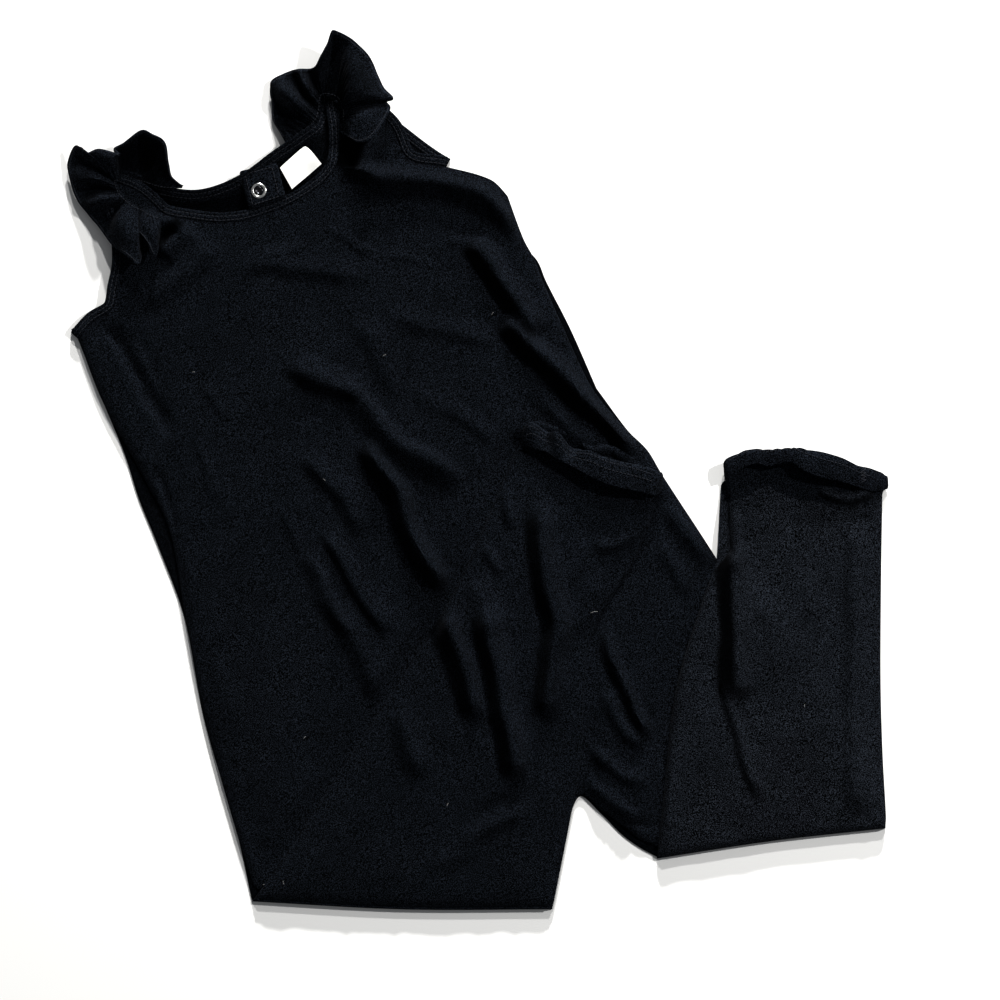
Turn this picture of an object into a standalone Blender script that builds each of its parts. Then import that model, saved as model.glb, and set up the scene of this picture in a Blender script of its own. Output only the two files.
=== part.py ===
"""A child's jersey romper with flutter sleeves, laid flat, both legs folded up at the knee.

The tables are in millimetres. X runs across the surface, Y up it, and Z off it.
Each flat panel is a wall between a lower and an upper height, over an outline of
named places. The back lies on the surface, the front lies on the back, and each
folded-up shin lies on its own thigh.
"""

import math
from collections import namedtuple

import bpy
import numpy as np
from mathutils import geometry

MM = 0.001

PANEL_STEP = 12.0       # between points along the edges of the body
SHIN_STEP = 14.0        # and of the shins
BACK_SPACING = 30.0     # between points inside each panel
FRONT_SPACING = 21.0
SHIN_SPACING = 19.0
INNER_SPACING = 24.0
FOLD_STEP = 11.0        # between guide points along a fold
SHARP_ANGLE = 50.0      # degrees, where the shading breaks

CLOTH = 1.2             # a wall of jersey, nap included
GAP = 0.3               # between two pieces at a seam
AIR = 3.0               # how far the front stands off the back
PRESSED = 0.5           # the same under a folded shin
ROLL = 9.0              # how far in from a side seam the front reaches its full rise
PRESS_CLEAR = 4.0       # how far round a shin the front stays flat
PRESS_REACH = 18.0      # how far past that its weight still flattens the front

SHIN_ROLL = 6.0         # how far in from its edge a shin reaches its full height
KNEE_EDGE = 1.0         # how near the knee's edge a point counts as on it
INNER_INSET = 5.0       # how far the hidden layer stays inside the shin
INNER_EDGE = 1.1        # height of the hidden layer at its edge
INNER_FULL = 2.2        # and in its middle
INNER_AIR = 0.4         # between the hidden layer and the shin over it
DRAPE_START = 5.0       # how far past the thigh's outer side the right shin stays level
DRAPE = 20.0            # how far it then takes to come down

BINDING_WIDTH = 6.0
BINDING_HEIGHT = 1.9

RUFFLE_ROWS = 4
RUFFLE_STEPS = 3        # columns between two ribs of the fan
RUFFLE_WAVE = 2.6       # height of the gathers at the hem

LABEL_CLOTH = 1.0

HEM_STEPS = 12          # columns across a hem
HEM_REACH = 25.0        # how far down the shin the hem's arch carries
HEM_ROUND = 0.8         # power that rounds the arch of a hem

SNAP_RADIUS = 4.3
SNAP_WIRE = 0.5
SNAP_WIRE_SIDES = 6
SNAP_CAP_RADIUS = 2.4
SNAP_CAP_HEIGHT = 0.8

BLACK_JERSEY = ("black jersey", (0.012, 0.013, 0.016, 1.0), 0.92, 0.0)
WHITE_SATIN = ("white satin", (0.86, 0.86, 0.84, 1.0), 0.45, 0.0)
SILVER = ("bright steel", (0.78, 0.78, 0.76, 1.0), 0.25, 1.0)

SOFT, SHARP = "soft", "sharp"
CLOSED_EDGES = ("side", "shoulder", "inseam", "knee")

Spot = namedtuple("Spot", "place x y bend edge")
Fold = namedtuple("Fold", "place path height left right")
Rib = namedtuple("Rib", "place inner_x inner_y hem_x hem_y crown hem_rise")
Ring = namedtuple("Ring", "place left_x left_y right_x right_y floor arch")

FRONT = (
    Spot("left underarm", -252, 81, SHARP, "armhole"),
    Spot("left armhole low", -242, 92, SOFT, "armhole"),
    Spot("left armhole turn", -230, 100, SOFT, "armhole"),
    Spot("left armhole middle", -227, 113, SOFT, "armhole"),
    Spot("left armhole upper", -224, 130, SOFT, "armhole"),
    Spot("left strap outside", -226, 153, SOFT, "armhole"),
    Spot("left shoulder outside", -234, 176, SHARP, "shoulder"),
    Spot("left shoulder inside", -230, 180, SHARP, "neck"),
    Spot("left strap inside", -215, 174, SOFT, "neck"),
    Spot("left strap turn", -206, 167, SOFT, "neck"),
    Spot("neck left", -197, 159, SOFT, "neck"),
    Spot("neck left of centre", -182, 156, SOFT, "neck"),
    Spot("neck centre", -161, 154, SOFT, "neck"),
    Spot("neck right of centre", -141, 157, SOFT, "neck"),
    Spot("neck right", -112, 169, SOFT, "neck"),
    Spot("neck right turn", -91, 187, SOFT, "neck"),
    Spot("right strap inside", -88, 210, SOFT, "neck"),
    Spot("right shoulder inside", -91, 231, SHARP, "shoulder"),
    Spot("right shoulder outside", -84, 234, SHARP, "armhole"),
    Spot("right strap outside", -70, 226, SOFT, "armhole"),
    Spot("right armhole upper", -55, 214, SOFT, "armhole"),
    Spot("right armhole turn", -44.5, 194, SOFT, "armhole"),
    Spot("right armhole low", -21, 189, SOFT, "armhole"),
    Spot("right underarm fold", 7, 181, SOFT, "armhole"),
    Spot("right underarm", 18, 171, SHARP, "side"),
    Spot("right ribs", 28, 144, SOFT, "side"),
    Spot("right ribs low", 35, 131, SOFT, "side"),
    Spot("right waist", 40, 118, SOFT, "side"),
    Spot("right waist low", 52.5, 89.5, SOFT, "side"),
    Spot("right hip", 72, 49, SOFT, "side"),
    Spot("right hip low", 94.5, 22.5, SOFT, "side"),
    Spot("right thigh high", 106, 11, SOFT, "side"),
    Spot("right thigh", 115, -4, SOFT, "side"),
    Spot("right thigh low", 150, -58, SOFT, "side"),
    Spot("right knee outside", 250, -221, SHARP, "knee"),
    Spot("right knee inside", 116, -240, SHARP, "inseam"),
    Spot("right calf inside", 102, -234, SOFT, "inseam"),
    Spot("right inseam low", 90, -225, SOFT, "inseam"),
    Spot("right inseam", 78, -216, SOFT, "inseam"),
    Spot("crotch", 63, -206, SOFT, "inseam"),
    Spot("left inseam", 53, -236, SOFT, "inseam"),
    Spot("left knee inside", 42, -271, SHARP, "knee"),
    Spot("left knee outside", -141, -265, SHARP, "side"),
    Spot("left thigh", -153, -228, SOFT, "side"),
    Spot("left hip low", -172, -159, SOFT, "side"),
    Spot("left hip", -185, -93, SOFT, "side"),
    Spot("left waist", -195, -39, SOFT, "side"),
    Spot("left waist high", -210, -8, SOFT, "side"),
    Spot("left ribs", -237, 42, SOFT, "side"),
)

BACK = (
    Spot("left underarm", -253, 82, SHARP, "armhole"),
    Spot("left armhole turn", -230, 100, SOFT, "armhole"),
    Spot("left armhole upper", -224, 130, SOFT, "armhole"),
    Spot("left strap outside", -227, 154, SOFT, "armhole"),
    Spot("left shoulder outside", -235, 177, SHARP, "shoulder"),
    Spot("left shoulder inside", -229, 182, SHARP, "neck"),
    Spot("left strap inside", -215, 178, SOFT, "neck"),
    Spot("neck left", -201, 171, SOFT, "neck"),
    Spot("neck left of centre", -174, 168, SOFT, "neck"),
    Spot("neck centre", -148, 177, SOFT, "neck"),
    Spot("neck right", -124, 194, SOFT, "neck"),
    Spot("neck right turn", -108, 205, SOFT, "neck"),
    Spot("right strap turn", -99, 212, SOFT, "neck"),
    Spot("right strap inside", -95, 221, SOFT, "neck"),
    Spot("right shoulder inside", -93, 234, SHARP, "shoulder"),
    Spot("right shoulder outside", -85, 237, SHARP, "armhole"),
    Spot("right armhole upper", -56, 214, SOFT, "armhole"),
    Spot("right armhole low", -21, 189, SOFT, "armhole"),
    Spot("right underarm fold", 6, 181, SOFT, "armhole"),
    Spot("right underarm", 18, 171, SHARP, "side"),
    Spot("right ribs", 28, 141, SOFT, "side"),
    Spot("right ribs low", 37, 130, SOFT, "side"),
    Spot("right waist", 42, 118, SOFT, "side"),
    Spot("right waist low", 57.5, 87.5, SOFT, "side"),
    Spot("right hip fold", 74, 50, SHARP, "side"),
    Spot("right hip low", 94.5, 22.5, SOFT, "side"),
    Spot("right thigh high", 106, 11, SOFT, "side"),
    Spot("right thigh", 115, -4, SOFT, "side"),
    Spot("right thigh low", 150, -58, SOFT, "side"),
    Spot("right knee outside", 256, -227, SHARP, "knee"),
    Spot("right knee middle", 184, -235, SOFT, "knee"),
    Spot("right knee inside", 112, -246, SHARP, "inseam"),
    Spot("right calf inside", 101, -239, SOFT, "inseam"),
    Spot("right inseam low", 90, -231, SOFT, "inseam"),
    Spot("right inseam", 77, -218, SOFT, "inseam"),
    Spot("crotch", 63, -207, SOFT, "inseam"),
    Spot("left inseam", 54, -236, SOFT, "inseam"),
    Spot("left knee inside", 46, -278, SHARP, "knee"),
    Spot("left knee middle", -48, -278, SOFT, "knee"),
    Spot("left knee outside", -143, -273, SHARP, "side"),
    Spot("left thigh", -153, -228, SOFT, "side"),
    Spot("left hip low", -173, -159, SOFT, "side"),
    Spot("left hip", -186, -93, SOFT, "side"),
    Spot("left waist", -203, -47, SOFT, "side"),
    Spot("left waist turn", -214, -20, SOFT, "side"),
    Spot("left waist high", -223, 8, SOFT, "side"),
    Spot("left ribs", -237, 42, SOFT, "side"),
)

LEFT_SHIN = (
    Spot("knee outside", -143, -273, SHARP, "side"),
    Spot("calf outside low", -121, -243, SOFT, "side"),
    Spot("calf outside", -86, -189, SOFT, "side"),
    Spot("calf outside high", -50, -134, SOFT, "side"),
    Spot("shin outside", -15, -77, SOFT, "side"),
    Spot("shin outside high", 13, -14, SOFT, "side"),
    Spot("hem outside", 23, 11, SHARP, "hem"),
    Spot("hem inside", 111, -23, SHARP, "side"),
    Spot("shin inside high", 97, -60, SOFT, "side"),
    Spot("shin inside", 78, -90, SOFT, "side"),
    Spot("shin inside low", 69, -112, SOFT, "side"),
    Spot("calf inside high", 66, -142, SOFT, "side"),
    Spot("calf inside", 64, -184, SOFT, "side"),
    Spot("calf inside low", 57, -222, SOFT, "side"),
    Spot("knee inside", 46, -278, SHARP, "knee"),
    Spot("knee middle", -48, -278, SOFT, "knee"),
)

RIGHT_SHIN = (
    Spot("knee inside", 112, -246, SHARP, "side"),
    Spot("calf inside", 116, -207, SOFT, "side"),
    Spot("calf inside high", 124, -139, SOFT, "side"),
    Spot("shin inside", 141, -82, SOFT, "side"),
    Spot("shin inside notch", 147, -66, SHARP, "side"),
    Spot("shin inside high", 158, -52, SHARP, "side"),
    Spot("hem inside", 156, -15, SHARP, "hem"),
    Spot("hem outside", 255, -17, SHARP, "side"),
    Spot("shin outside", 253, -83, SOFT, "side"),
    Spot("calf outside", 253, -146, SOFT, "side"),
    Spot("knee outside", 256, -227, SHARP, "knee"),
    Spot("knee middle", 184, -235, SOFT, "knee"),
)

# A fold's path runs along its crest. Left and right are its widths on either side of
# the path, so the narrow side is the steep one.
FRONT_FOLDS = (
    Fold("belly", ((-74, 24), (-53, -3), (-28, -49), (-14, -83)), 9.0, 14, 9),
    Fold("belly upper", ((-77, 54), (-53, 26), (-21, 6), (4, -6)), 5.0, 14, 9),
    Fold("shoulder", ((-50, 184), (-18, 178), (4, 170), (24, 148)), 7.0, 9, 11),
    Fold("waist", ((-4, 146), (16, 130), (33, 106), (50, 80)), 6.0, 8, 9),
    Fold("hip", ((42, 80), (62, 50), (82, 28), (105, 2)), 6.0, 7, 9),
    Fold("left rib", ((-240, 84), (-226, 70), (-214, 48)), 4.0, 10, 9),
    Fold("left middle", ((-101, -50), (-85, -89), (-70, -112)), 4.0, 12, 9),
    Fold("right thigh", ((82, -99), (98, -142), (108, -168)), 4.0, 9, 9),
)
LEFT_SHIN_FOLDS = (
    Fold("long", ((43, -28), (49, -83), (45, -150)), 5.0, 10, 8),
    Fold("short", ((2, -88), (14, -140), (22, -178), (14, -212)), 4.0, 9, 8),
)
RIGHT_SHIN_FOLDS = (
    Fold("tuck", ((158, -67), (159, -121), (162, -146), (176, -205)), 3.0, 9, 8),
)

LEFT_RIBS = (
    Rib("front end", -208, 148, -214, 128, 12, 11),
    Rib("front lobe", -216, 152, -230, 136, 13, 11),
    Rib("front turn", -228, 160, -240, 152, 13, 8),
    Rib("outer middle", -234, 166, -255, 171, 13, 4),
    Rib("outer high", -238, 175, -259, 193, 14, 4),
    Rib("spike", -238, 182, -254, 204, 15, 5),
    Rib("over the shoulder", -230, 187, -241, 202, 14, 4),
    Rib("back low", -220, 186, -224, 208, 13, 4),
    Rib("back crest", -210, 184, -212, 214, 12, 4),
    Rib("back turn", -200, 181, -197, 206, 10, 4),
    Rib("back tail", -191, 179, -190, 190, 8, 4),
    Rib("back end", -185, 178, -181, 183, 6, 4),
)

RIGHT_RIBS = (
    Rib("front end", -84, 214, -86, 208, 11, 11),
    Rib("front hem", -78, 218, -80, 205, 12, 12),
    Rib("front hem low", -76, 221, -70, 204, 14, 12),
    Rib("front turn", -75, 225, -61, 212, 15, 11),
    Rib("front side", -75, 229, -55, 226, 16, 9),
    Rib("tip", -77, 233, -55, 234, 16, 5),
    Rib("outer high", -81, 236, -64, 249, 17, 5),
    Rib("outer crest", -86, 238, -77, 268, 17, 5),
    Rib("crest", -91, 238, -92, 276, 16, 4),
    Rib("notch", -96, 237, -103, 252, 14, 4),
    Rib("back crest", -100, 234, -120, 251, 13, 4),
    Rib("back side", -103, 230, -132, 238, 12, 4),
    Rib("back low", -106, 224, -131, 219, 10, 4),
    Rib("back end", -110, 216, -122, 207, 7, 4),
)

LEFT_HEM = (
    Ring("seam", 23.2, 11.3, 111.2, -22.7, 3.5, 7),
    Ring("band", 25, 17, 113, -13, 3.5, 9),
    Ring("mouth", 26, 25, 114, -3, 3.5, 10),
)
RIGHT_HEM = (
    Ring("seam", 156.2, -14.7, 257.6, -16.7, 0.0, 6),
    Ring("band", 157, -5, 258.4, -12, 0.0, 9),
    Ring("mouth", 156, 4, 257, -3, 0.0, 11),
)

TAB = ((-150, 183), (-128, 192), (-122, 171), (-145, 163))
SNAP = (-138, 177)
LABEL = ((-125, 189), (-108, 203), (-100, 191), (-117, 176))


def smooth_run(places, step):
    """Points along a smooth curve through the places, about one step apart."""
    places = [np.array(p, float) for p in places]
    points = [places[0]]
    for i in range(len(places) - 1):
        here, there = places[i], places[i + 1]
        chord = np.linalg.norm(there - here)
        leave = arrive = there - here
        if i > 0:
            before = np.linalg.norm(here - places[i - 1])
            leave = (there - places[i - 1]) * chord / (before + chord)
        if i + 2 < len(places):
            after = np.linalg.norm(places[i + 2] - there)
            arrive = (places[i + 2] - here) * chord / (chord + after)
        count = max(1, round(chord / step))
        for k in range(1, count + 1):
            t = k / count
            points.append(here * (2 * t**3 - 3 * t**2 + 1) + leave * (t**3 - 2 * t**2 + t)
                          + there * (3 * t**2 - 2 * t**3) + arrive * (t**3 - t**2))
    return np.array(points)


class Outline:
    """A closed edge through named places, counter-clockwise, with the kind of each stretch."""

    def __init__(self, spots, step):
        turn = sum(a.x * b.y - b.x * a.y for a, b in zip(spots, spots[1:] + spots[:1]))
        self.forward = turn > 0
        corners = [i for i, spot in enumerate(spots) if spot.bend == SHARP]
        points, kinds, self.at = [], [], {}
        for n, first in enumerate(corners):
            last = corners[(n + 1) % len(corners)]
            span = (last - first) % len(spots) or len(spots)
            run = [spots[(first + k) % len(spots)] for k in range(span + 1)]
            curve, owner = self._curve(run, step)
            for spot_index, start in owner:
                self.at[run[spot_index].place] = len(points) + start
            points.extend(curve[:-1])
            for k in range(len(curve) - 1):
                owning = max(i for i, start in owner if start <= k)
                kinds.append(run[owning].edge)
        self.points = np.array(points)
        self.kinds = kinds
        if not self.forward:
            count = len(self.points)
            self.points = self.points[::-1].copy()
            self.kinds = self.kinds[::-1][1:] + self.kinds[::-1][:1]
            self.at = {place: count - 1 - i for place, i in self.at.items()}

    @staticmethod
    def _curve(run, step):
        places = [(spot.x, spot.y) for spot in run]
        whole = smooth_run(places, step)
        owner, start = [], 0
        for i in range(len(places) - 1):
            owner.append((i, start))
            start += max(1, round(math.dist(places[i], places[i + 1]) / step))
        return whole, owner

    def segments(self, kinds=None):
        """The edge's straight pieces, of the kinds asked for, as start and end points."""
        ends = np.roll(self.points, -1, axis=0)
        keep = [kinds is None or kind in kinds for kind in self.kinds]
        return self.points[keep], ends[keep]

    def inside(self, p):
        """Whether each point lies inside the outline."""
        a, b = self.points, np.roll(self.points, -1, axis=0)
        x, y = p[:, None, 0], p[:, None, 1]
        crosses = (a[None, :, 1] > y) != (b[None, :, 1] > y)
        rise = np.where(b[:, 1] == a[:, 1], 1e-9, b[:, 1] - a[:, 1])
        at_x = a[None, :, 0] + (y - a[None, :, 1]) / rise * (b - a)[None, :, 0]
        return (crosses & (x < at_x)).sum(axis=1) % 2 == 1

    def depth(self, p, kinds=None):
        """Distance in from the edge of each point: negative outside."""
        distance = to_segments(p, *self.segments(kinds))[0]
        return np.where(self.inside(p), distance, -distance)

    def outward(self):
        """The direction out from the edge at each of its points."""
        along = np.roll(self.points, -1, axis=0) - np.roll(self.points, 1, axis=0)
        along /= np.linalg.norm(along, axis=1)[:, None]
        return np.column_stack((along[:, 1], -along[:, 0]))

    def stretch(self, first, last):
        """The points from one named place to another, and the outward direction at each."""
        i, j = self.at[first], self.at[last]
        count = len(self.points)
        order = [k % count for k in range(i, i + (j - i) % count + 1)]
        path = self.points[order]
        along = np.gradient(path, axis=0)
        along /= np.linalg.norm(along, axis=1)[:, None]
        return path, np.column_stack((along[:, 1], -along[:, 0]))


def to_segments(p, a, b):
    """Distance from each point to the nearest straight piece, which piece, and how far along."""
    along = b - a
    length2 = np.maximum((along**2).sum(axis=1), 1e-12)
    t = ((p[:, None, :] - a[None]) * along[None]).sum(axis=2) / length2
    t = np.clip(t, 0.0, 1.0)
    foot = a[None] + t[..., None] * along[None]
    distance = np.linalg.norm(p[:, None, :] - foot, axis=2)
    nearest = distance.argmin(axis=1)
    rows = np.arange(len(p))
    return distance[rows, nearest], nearest, t[rows, nearest]


def ease(t):
    """A smooth step from 0 to 1."""
    t = np.clip(t, 0.0, 1.0)
    return t * t * (3.0 - 2.0 * t)


def rise_in(distance, reach):
    """A straight rise from 0 at the edge to 1 at the reach."""
    return np.clip(distance / reach, 0.0, 1.0)


def fold_height(p, folds):
    """The height that the folds add at each point."""
    total = np.zeros(len(p))
    for fold in folds:
        path = smooth_run(fold.path, FOLD_STEP / 2)
        a, b = path[:-1], path[1:]
        distance, piece, t = to_segments(p, a, b)
        across = b[piece] - a[piece]
        side = across[:, 0] * (p - a[piece])[:, 1] - across[:, 1] * (p - a[piece])[:, 0]
        width = np.where(side > 0, fold.left, fold.right)
        along = (piece + t) / len(a)
        taper = ease(along / 0.3) * ease((1.0 - along) / 0.3)
        bell = 1.0 - ease(distance / width)
        total = np.maximum(total, fold.height * taper * bell)
    return total


def fold_guides(folds):
    """Points along each fold's crest and both of its feet, so that few triangles hold it."""
    points = []
    for fold in folds:
        path = smooth_run(fold.path, FOLD_STEP)
        along = np.gradient(path, axis=0)
        along /= np.linalg.norm(along, axis=1)[:, None]
        across = np.column_stack((-along[:, 1], along[:, 0]))
        for offset in (0.0, fold.left, -fold.right):
            points.extend(path + across * offset)
    return points


def fill_points(outline, spacing, guides, rings):
    """Points inside an outline: rings along its edge, the guides, and a grid between them."""
    kept = np.empty((0, 2))
    inward = -outline.outward()

    def add(candidates, clear_of_edge, clear_of_points):
        nonlocal kept
        candidates = np.array(candidates, float).reshape(-1, 2)
        if not len(candidates):
            return
        candidates = candidates[outline.depth(candidates) > clear_of_edge]
        for point in candidates:
            if not len(kept) or np.linalg.norm(kept - point, axis=1).min() > clear_of_points:
                kept = np.vstack((kept, point))

    for ring in rings:
        add(outline.points + inward * ring, ring * 0.85, 3.5)
    add(guides, 4.0, 5.0)
    low, high = outline.points.min(axis=0), outline.points.max(axis=0)
    grid, row = [], 0
    y = low[1]
    while y < high[1]:
        start = low[0] + (spacing / 2 if row % 2 else 0.0)
        grid.extend((x, y) for x in np.arange(start, high[0], spacing))
        y += spacing * math.sqrt(0.75)
        row += 1
    add(grid, spacing * 0.45, spacing * 0.6)
    return kept


def flat_mesh(outline, spacing, guides=(), rings=(ROLL,)):
    """Triangles over an outline, with its edge loop in order."""
    edge = outline.points
    inner = fill_points(outline, spacing, guides, rings)
    points = [tuple(p) for p in np.vstack((edge, inner))]
    made = geometry.delaunay_2d_cdt(points, [], [list(range(len(edge)))], 1, 1e-6)
    verts, _, faces, origins = made[0], made[1], made[2], made[3]
    place = np.array([tuple(v) for v in verts])
    number = {}
    for new, old in enumerate(origins):
        for source in old:
            number[source] = new
    loop = [number[i] for i in range(len(edge))]
    triangles = []
    for face in faces:
        a, b, c = (place[i] for i in face)
        area = (b[0] - a[0]) * (c[1] - a[1]) - (b[1] - a[1]) * (c[0] - a[0])
        triangles.append(tuple(face) if area > 0 else tuple(reversed(face)))
    return place, triangles, loop


def material(finish):
    """The material of a finish, made once."""
    name, colour, roughness, metallic = finish
    made = bpy.data.materials.get(name)
    if made is None:
        made = bpy.data.materials.new(name)
        made.use_nodes = True
        shader = made.node_tree.nodes["Principled BSDF"]
        shader.inputs["Base Color"].default_value = colour
        shader.inputs["Roughness"].default_value = roughness
        shader.inputs["Metallic"].default_value = metallic
    return made


def add_object(name, points, faces, finish):
    """A mesh object from points in millimetres."""
    mesh = bpy.data.meshes.new(name)
    mesh.from_pydata([tuple(float(c) * MM for c in p) for p in points], [], faces)
    mesh.validate()
    mesh.shade_smooth()
    mesh.set_sharp_from_angle(angle=math.radians(SHARP_ANGLE))
    mesh.materials.append(material(finish))
    made = bpy.data.objects.new(name, mesh)
    bpy.context.scene.collection.objects.link(made)
    return made


def wall(name, flat, lower, upper, finish):
    """A closed wall over a flat mesh, between two heights."""
    place, triangles, loop = flat
    count = len(place)
    points = [(x, y, z) for (x, y), z in zip(place, lower)]
    points += [(x, y, z) for (x, y), z in zip(place, upper)]
    faces = [tuple(reversed(t)) for t in triangles]
    faces += [tuple(i + count for i in t) for t in triangles]
    for a, b in zip(loop, loop[1:] + loop[:1]):
        faces.append((a, b, b + count, a + count))
    return add_object(name, points, faces, finish)


def swept(name, path, outward, floor, section, finish):
    """A strip along a path: its section is a closed loop of (outward, up) places."""
    points = []
    for (x, y), (nx, ny), z in zip(path, outward, floor):
        points += [(x + nx * out, y + ny * out, z + up) for out, up in section]
    size = len(section)
    rows = len(path)
    faces = [tuple(reversed(range(size))), tuple(range((rows - 1) * size, rows * size))]
    for r in range(rows - 1):
        for k in range(size):
            a, b = r * size + k, r * size + (k + 1) % size
            faces.append((a, b, b + size, a + size))
    return add_object(name, points, faces, finish)


def binding_section(width, height):
    """The rounded section of a folded binding, beside the panel's edge."""
    near, far = GAP, GAP + width
    return ((near, 0.0), (near, height * 0.7), (near + 1.0, height), (far - 1.2, height),
            (far, height * 0.55), (far, 0.0))


def sheet_on_edge(name, rows, finish, thickness):
    """A wall through a grid of points, thickened both ways along its own normals."""
    grid = np.array(rows, float)
    along = np.gradient(grid, axis=0)
    across = np.gradient(grid, axis=1)
    normal = np.cross(along, across)
    normal /= np.linalg.norm(normal, axis=2)[..., None]
    if normal[..., 2].mean() < 0:
        normal = -normal
    count_s, count_t = grid.shape[:2]
    upper = (grid + normal * thickness / 2).reshape(-1, 3)
    lower = (grid - normal * thickness / 2).reshape(-1, 3)
    size = count_s * count_t
    faces = []
    for s in range(count_s - 1):
        for t in range(count_t - 1):
            a = s * count_t + t
            quad = (a, a + count_t, a + count_t + 1, a + 1)
            faces.append(quad)
            faces.append(tuple(reversed([i + size for i in quad])))
    rim = [t for t in range(count_t)]
    rim += [s * count_t + count_t - 1 for s in range(1, count_s)]
    rim += [(count_s - 1) * count_t + t for t in range(count_t - 2, -1, -1)]
    rim += [s * count_t for s in range(count_s - 2, 0, -1)]
    for a, b in zip(rim, rim[1:] + rim[:1]):
        faces.append((a, b, b + size, a + size))
    turned = np.cross(along, across)[..., 2].mean() < 0
    points = np.vstack((upper, lower))
    if turned:
        faces = [tuple(reversed(f)) for f in faces]
    return add_object(name, points, faces, finish)


def ruffle(name, ribs, seat):
    """A gathered sleeve: a fan from its seam to its hem, waving more towards the hem."""
    inner = smooth_fan([(r.inner_x, r.inner_y, r.crown, r.hem_rise) for r in ribs])
    outer = smooth_fan([(r.hem_x, r.hem_y, r.crown, r.hem_rise) for r in ribs])
    rows = []
    for s, (seam, hem) in enumerate(zip(inner, outer)):
        crown, hem_rise = seam[2], seam[3]
        phase = 2 * math.pi * s / RUFFLE_STEPS * 0.6
        row = []
        for k in range(RUFFLE_ROWS + 1):
            t = k / RUFFLE_ROWS
            x, y = seam[:2] * (1 - t) + hem[:2] * t
            arch = seat * (1 - t) + hem_rise * t + (crown - seat) * math.sin(math.pi * t)
            row.append((x, y, arch + RUFFLE_WAVE * t * math.sin(phase)))
        rows.append(row)
    return sheet_on_edge(name, rows, BLACK_JERSEY, CLOTH)


def smooth_fan(columns):
    """The ribs' values carried smoothly from rib to rib, RUFFLE_STEPS to each."""
    values = np.array(columns, float)
    made = []
    for i in range(len(values) - 1):
        before = values[max(i - 1, 0)]
        after = values[min(i + 2, len(values) - 1)]
        leave = (values[i + 1] - before) / 2
        arrive = (after - values[i]) / 2
        for k in range(RUFFLE_STEPS):
            t = k / RUFFLE_STEPS
            made.append(values[i] * (2 * t**3 - 3 * t**2 + 1) + leave * (t**3 - 2 * t**2 + t)
                        + values[i + 1] * (3 * t**2 - 2 * t**3) + arrive * (t**3 - t**2))
    made.append(values[-1])
    return np.array(made)


def hem_ring(name, rings):
    """A hem as an open flattened tube: its lower half lies, its upper half arches."""
    across = HEM_STEPS
    outer, inner = [], []
    for ring in rings:
        left = np.array((ring.left_x, ring.left_y))
        right = np.array((ring.right_x, ring.right_y))
        width = np.linalg.norm(right - left)
        for store, inset in ((outer, 0.0), (inner, CLOTH)):
            loop = []
            for k in range(across + 1):
                w = inset / width + (1 - 2 * inset / width) * k / across
                loop.append((*(left + (right - left) * w), ring.floor + inset))
            for k in range(across, -1, -1):
                w = inset / width + (1 - 2 * inset / width) * k / across
                top = ring.floor + 2 * CLOTH + GAP + ring.arch * math.sin(math.pi * w) ** HEM_ROUND
                loop.append((*(left + (right - left) * w), top - inset))
            store.append(loop)
    size = len(outer[0])
    rows = len(rings)
    points = [p for loop in outer for p in loop] + [p for loop in inner for p in loop]
    half = rows * size
    faces = []
    for r in range(rows - 1):
        for k in range(size):
            a, b = r * size + k, r * size + (k + 1) % size
            faces.append((a, a + size, b + size, b))
            faces.append((a + half, b + half, b + size + half, a + size + half))
    for k in range(size):
        a, b = k, (k + 1) % size
        faces.append((a, b, b + half, a + half))
        a, b = a + (rows - 1) * size, b + (rows - 1) * size
        faces.append((a, a + half, b + half, b))
    return add_object(name, points, faces, BLACK_JERSEY)


def patch(name, corners, floor, thickness, finish):
    """A flat four-cornered patch, its corners in order from the upper left, clockwise."""
    points = [(x, y, floor) for x, y in corners]
    points += [(x, y, floor + thickness) for x, y in corners]
    faces = [(0, 1, 2, 3), (7, 6, 5, 4)]
    faces += [(a, a + 4, b + 4, b) for a, b in ((0, 1), (1, 2), (2, 3), (3, 0))]
    return add_object(name, points, faces, finish)


def turned(name, centre, profile, closed, finish, sides=20):
    """A round piece: its profile is (radius, height) places, a closed loop or a dome."""
    points, faces = [], []
    size = len(profile)
    for s in range(sides):
        turn = 2 * math.pi * s / sides
        for radius, z in profile:
            points.append((centre[0] + radius * math.cos(turn), centre[1] + radius * math.sin(turn), z))
    for s in range(sides):
        a, b = s * size, (s + 1) % sides * size
        for k in range(size if closed else size - 1):
            m = (k + 1) % size
            faces.append((a + k, b + k, b + m, a + m))
    if not closed:
        faces.append(tuple(s * size for s in reversed(range(sides))))
        faces.append(tuple(s * size + size - 1 for s in range(sides)))
    return add_object(name, points, faces, finish)


def inset_outline(outline, inset):
    """The same outline moved in, with points that would crowd left out."""
    moved = outline.points - outline.outward() * inset
    kept = moved[outline.depth(moved) > inset * 0.8]
    spots = tuple(Spot(f"edge {i}", x, y, SHARP, "side") for i, (x, y) in enumerate(kept))
    return Outline(spots, PANEL_STEP * 2)


def with_mouth(spots, mouth):
    """A shin's places with its hem seam moved out to the hem's mouth."""
    moved = {"hem outside": (mouth.left_x, mouth.left_y), "hem inside": (mouth.right_x, mouth.right_y)}
    return tuple(spot._replace(x=moved[spot.place][0], y=moved[spot.place][1])
                 if spot.place in moved else spot for spot in spots)


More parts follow.
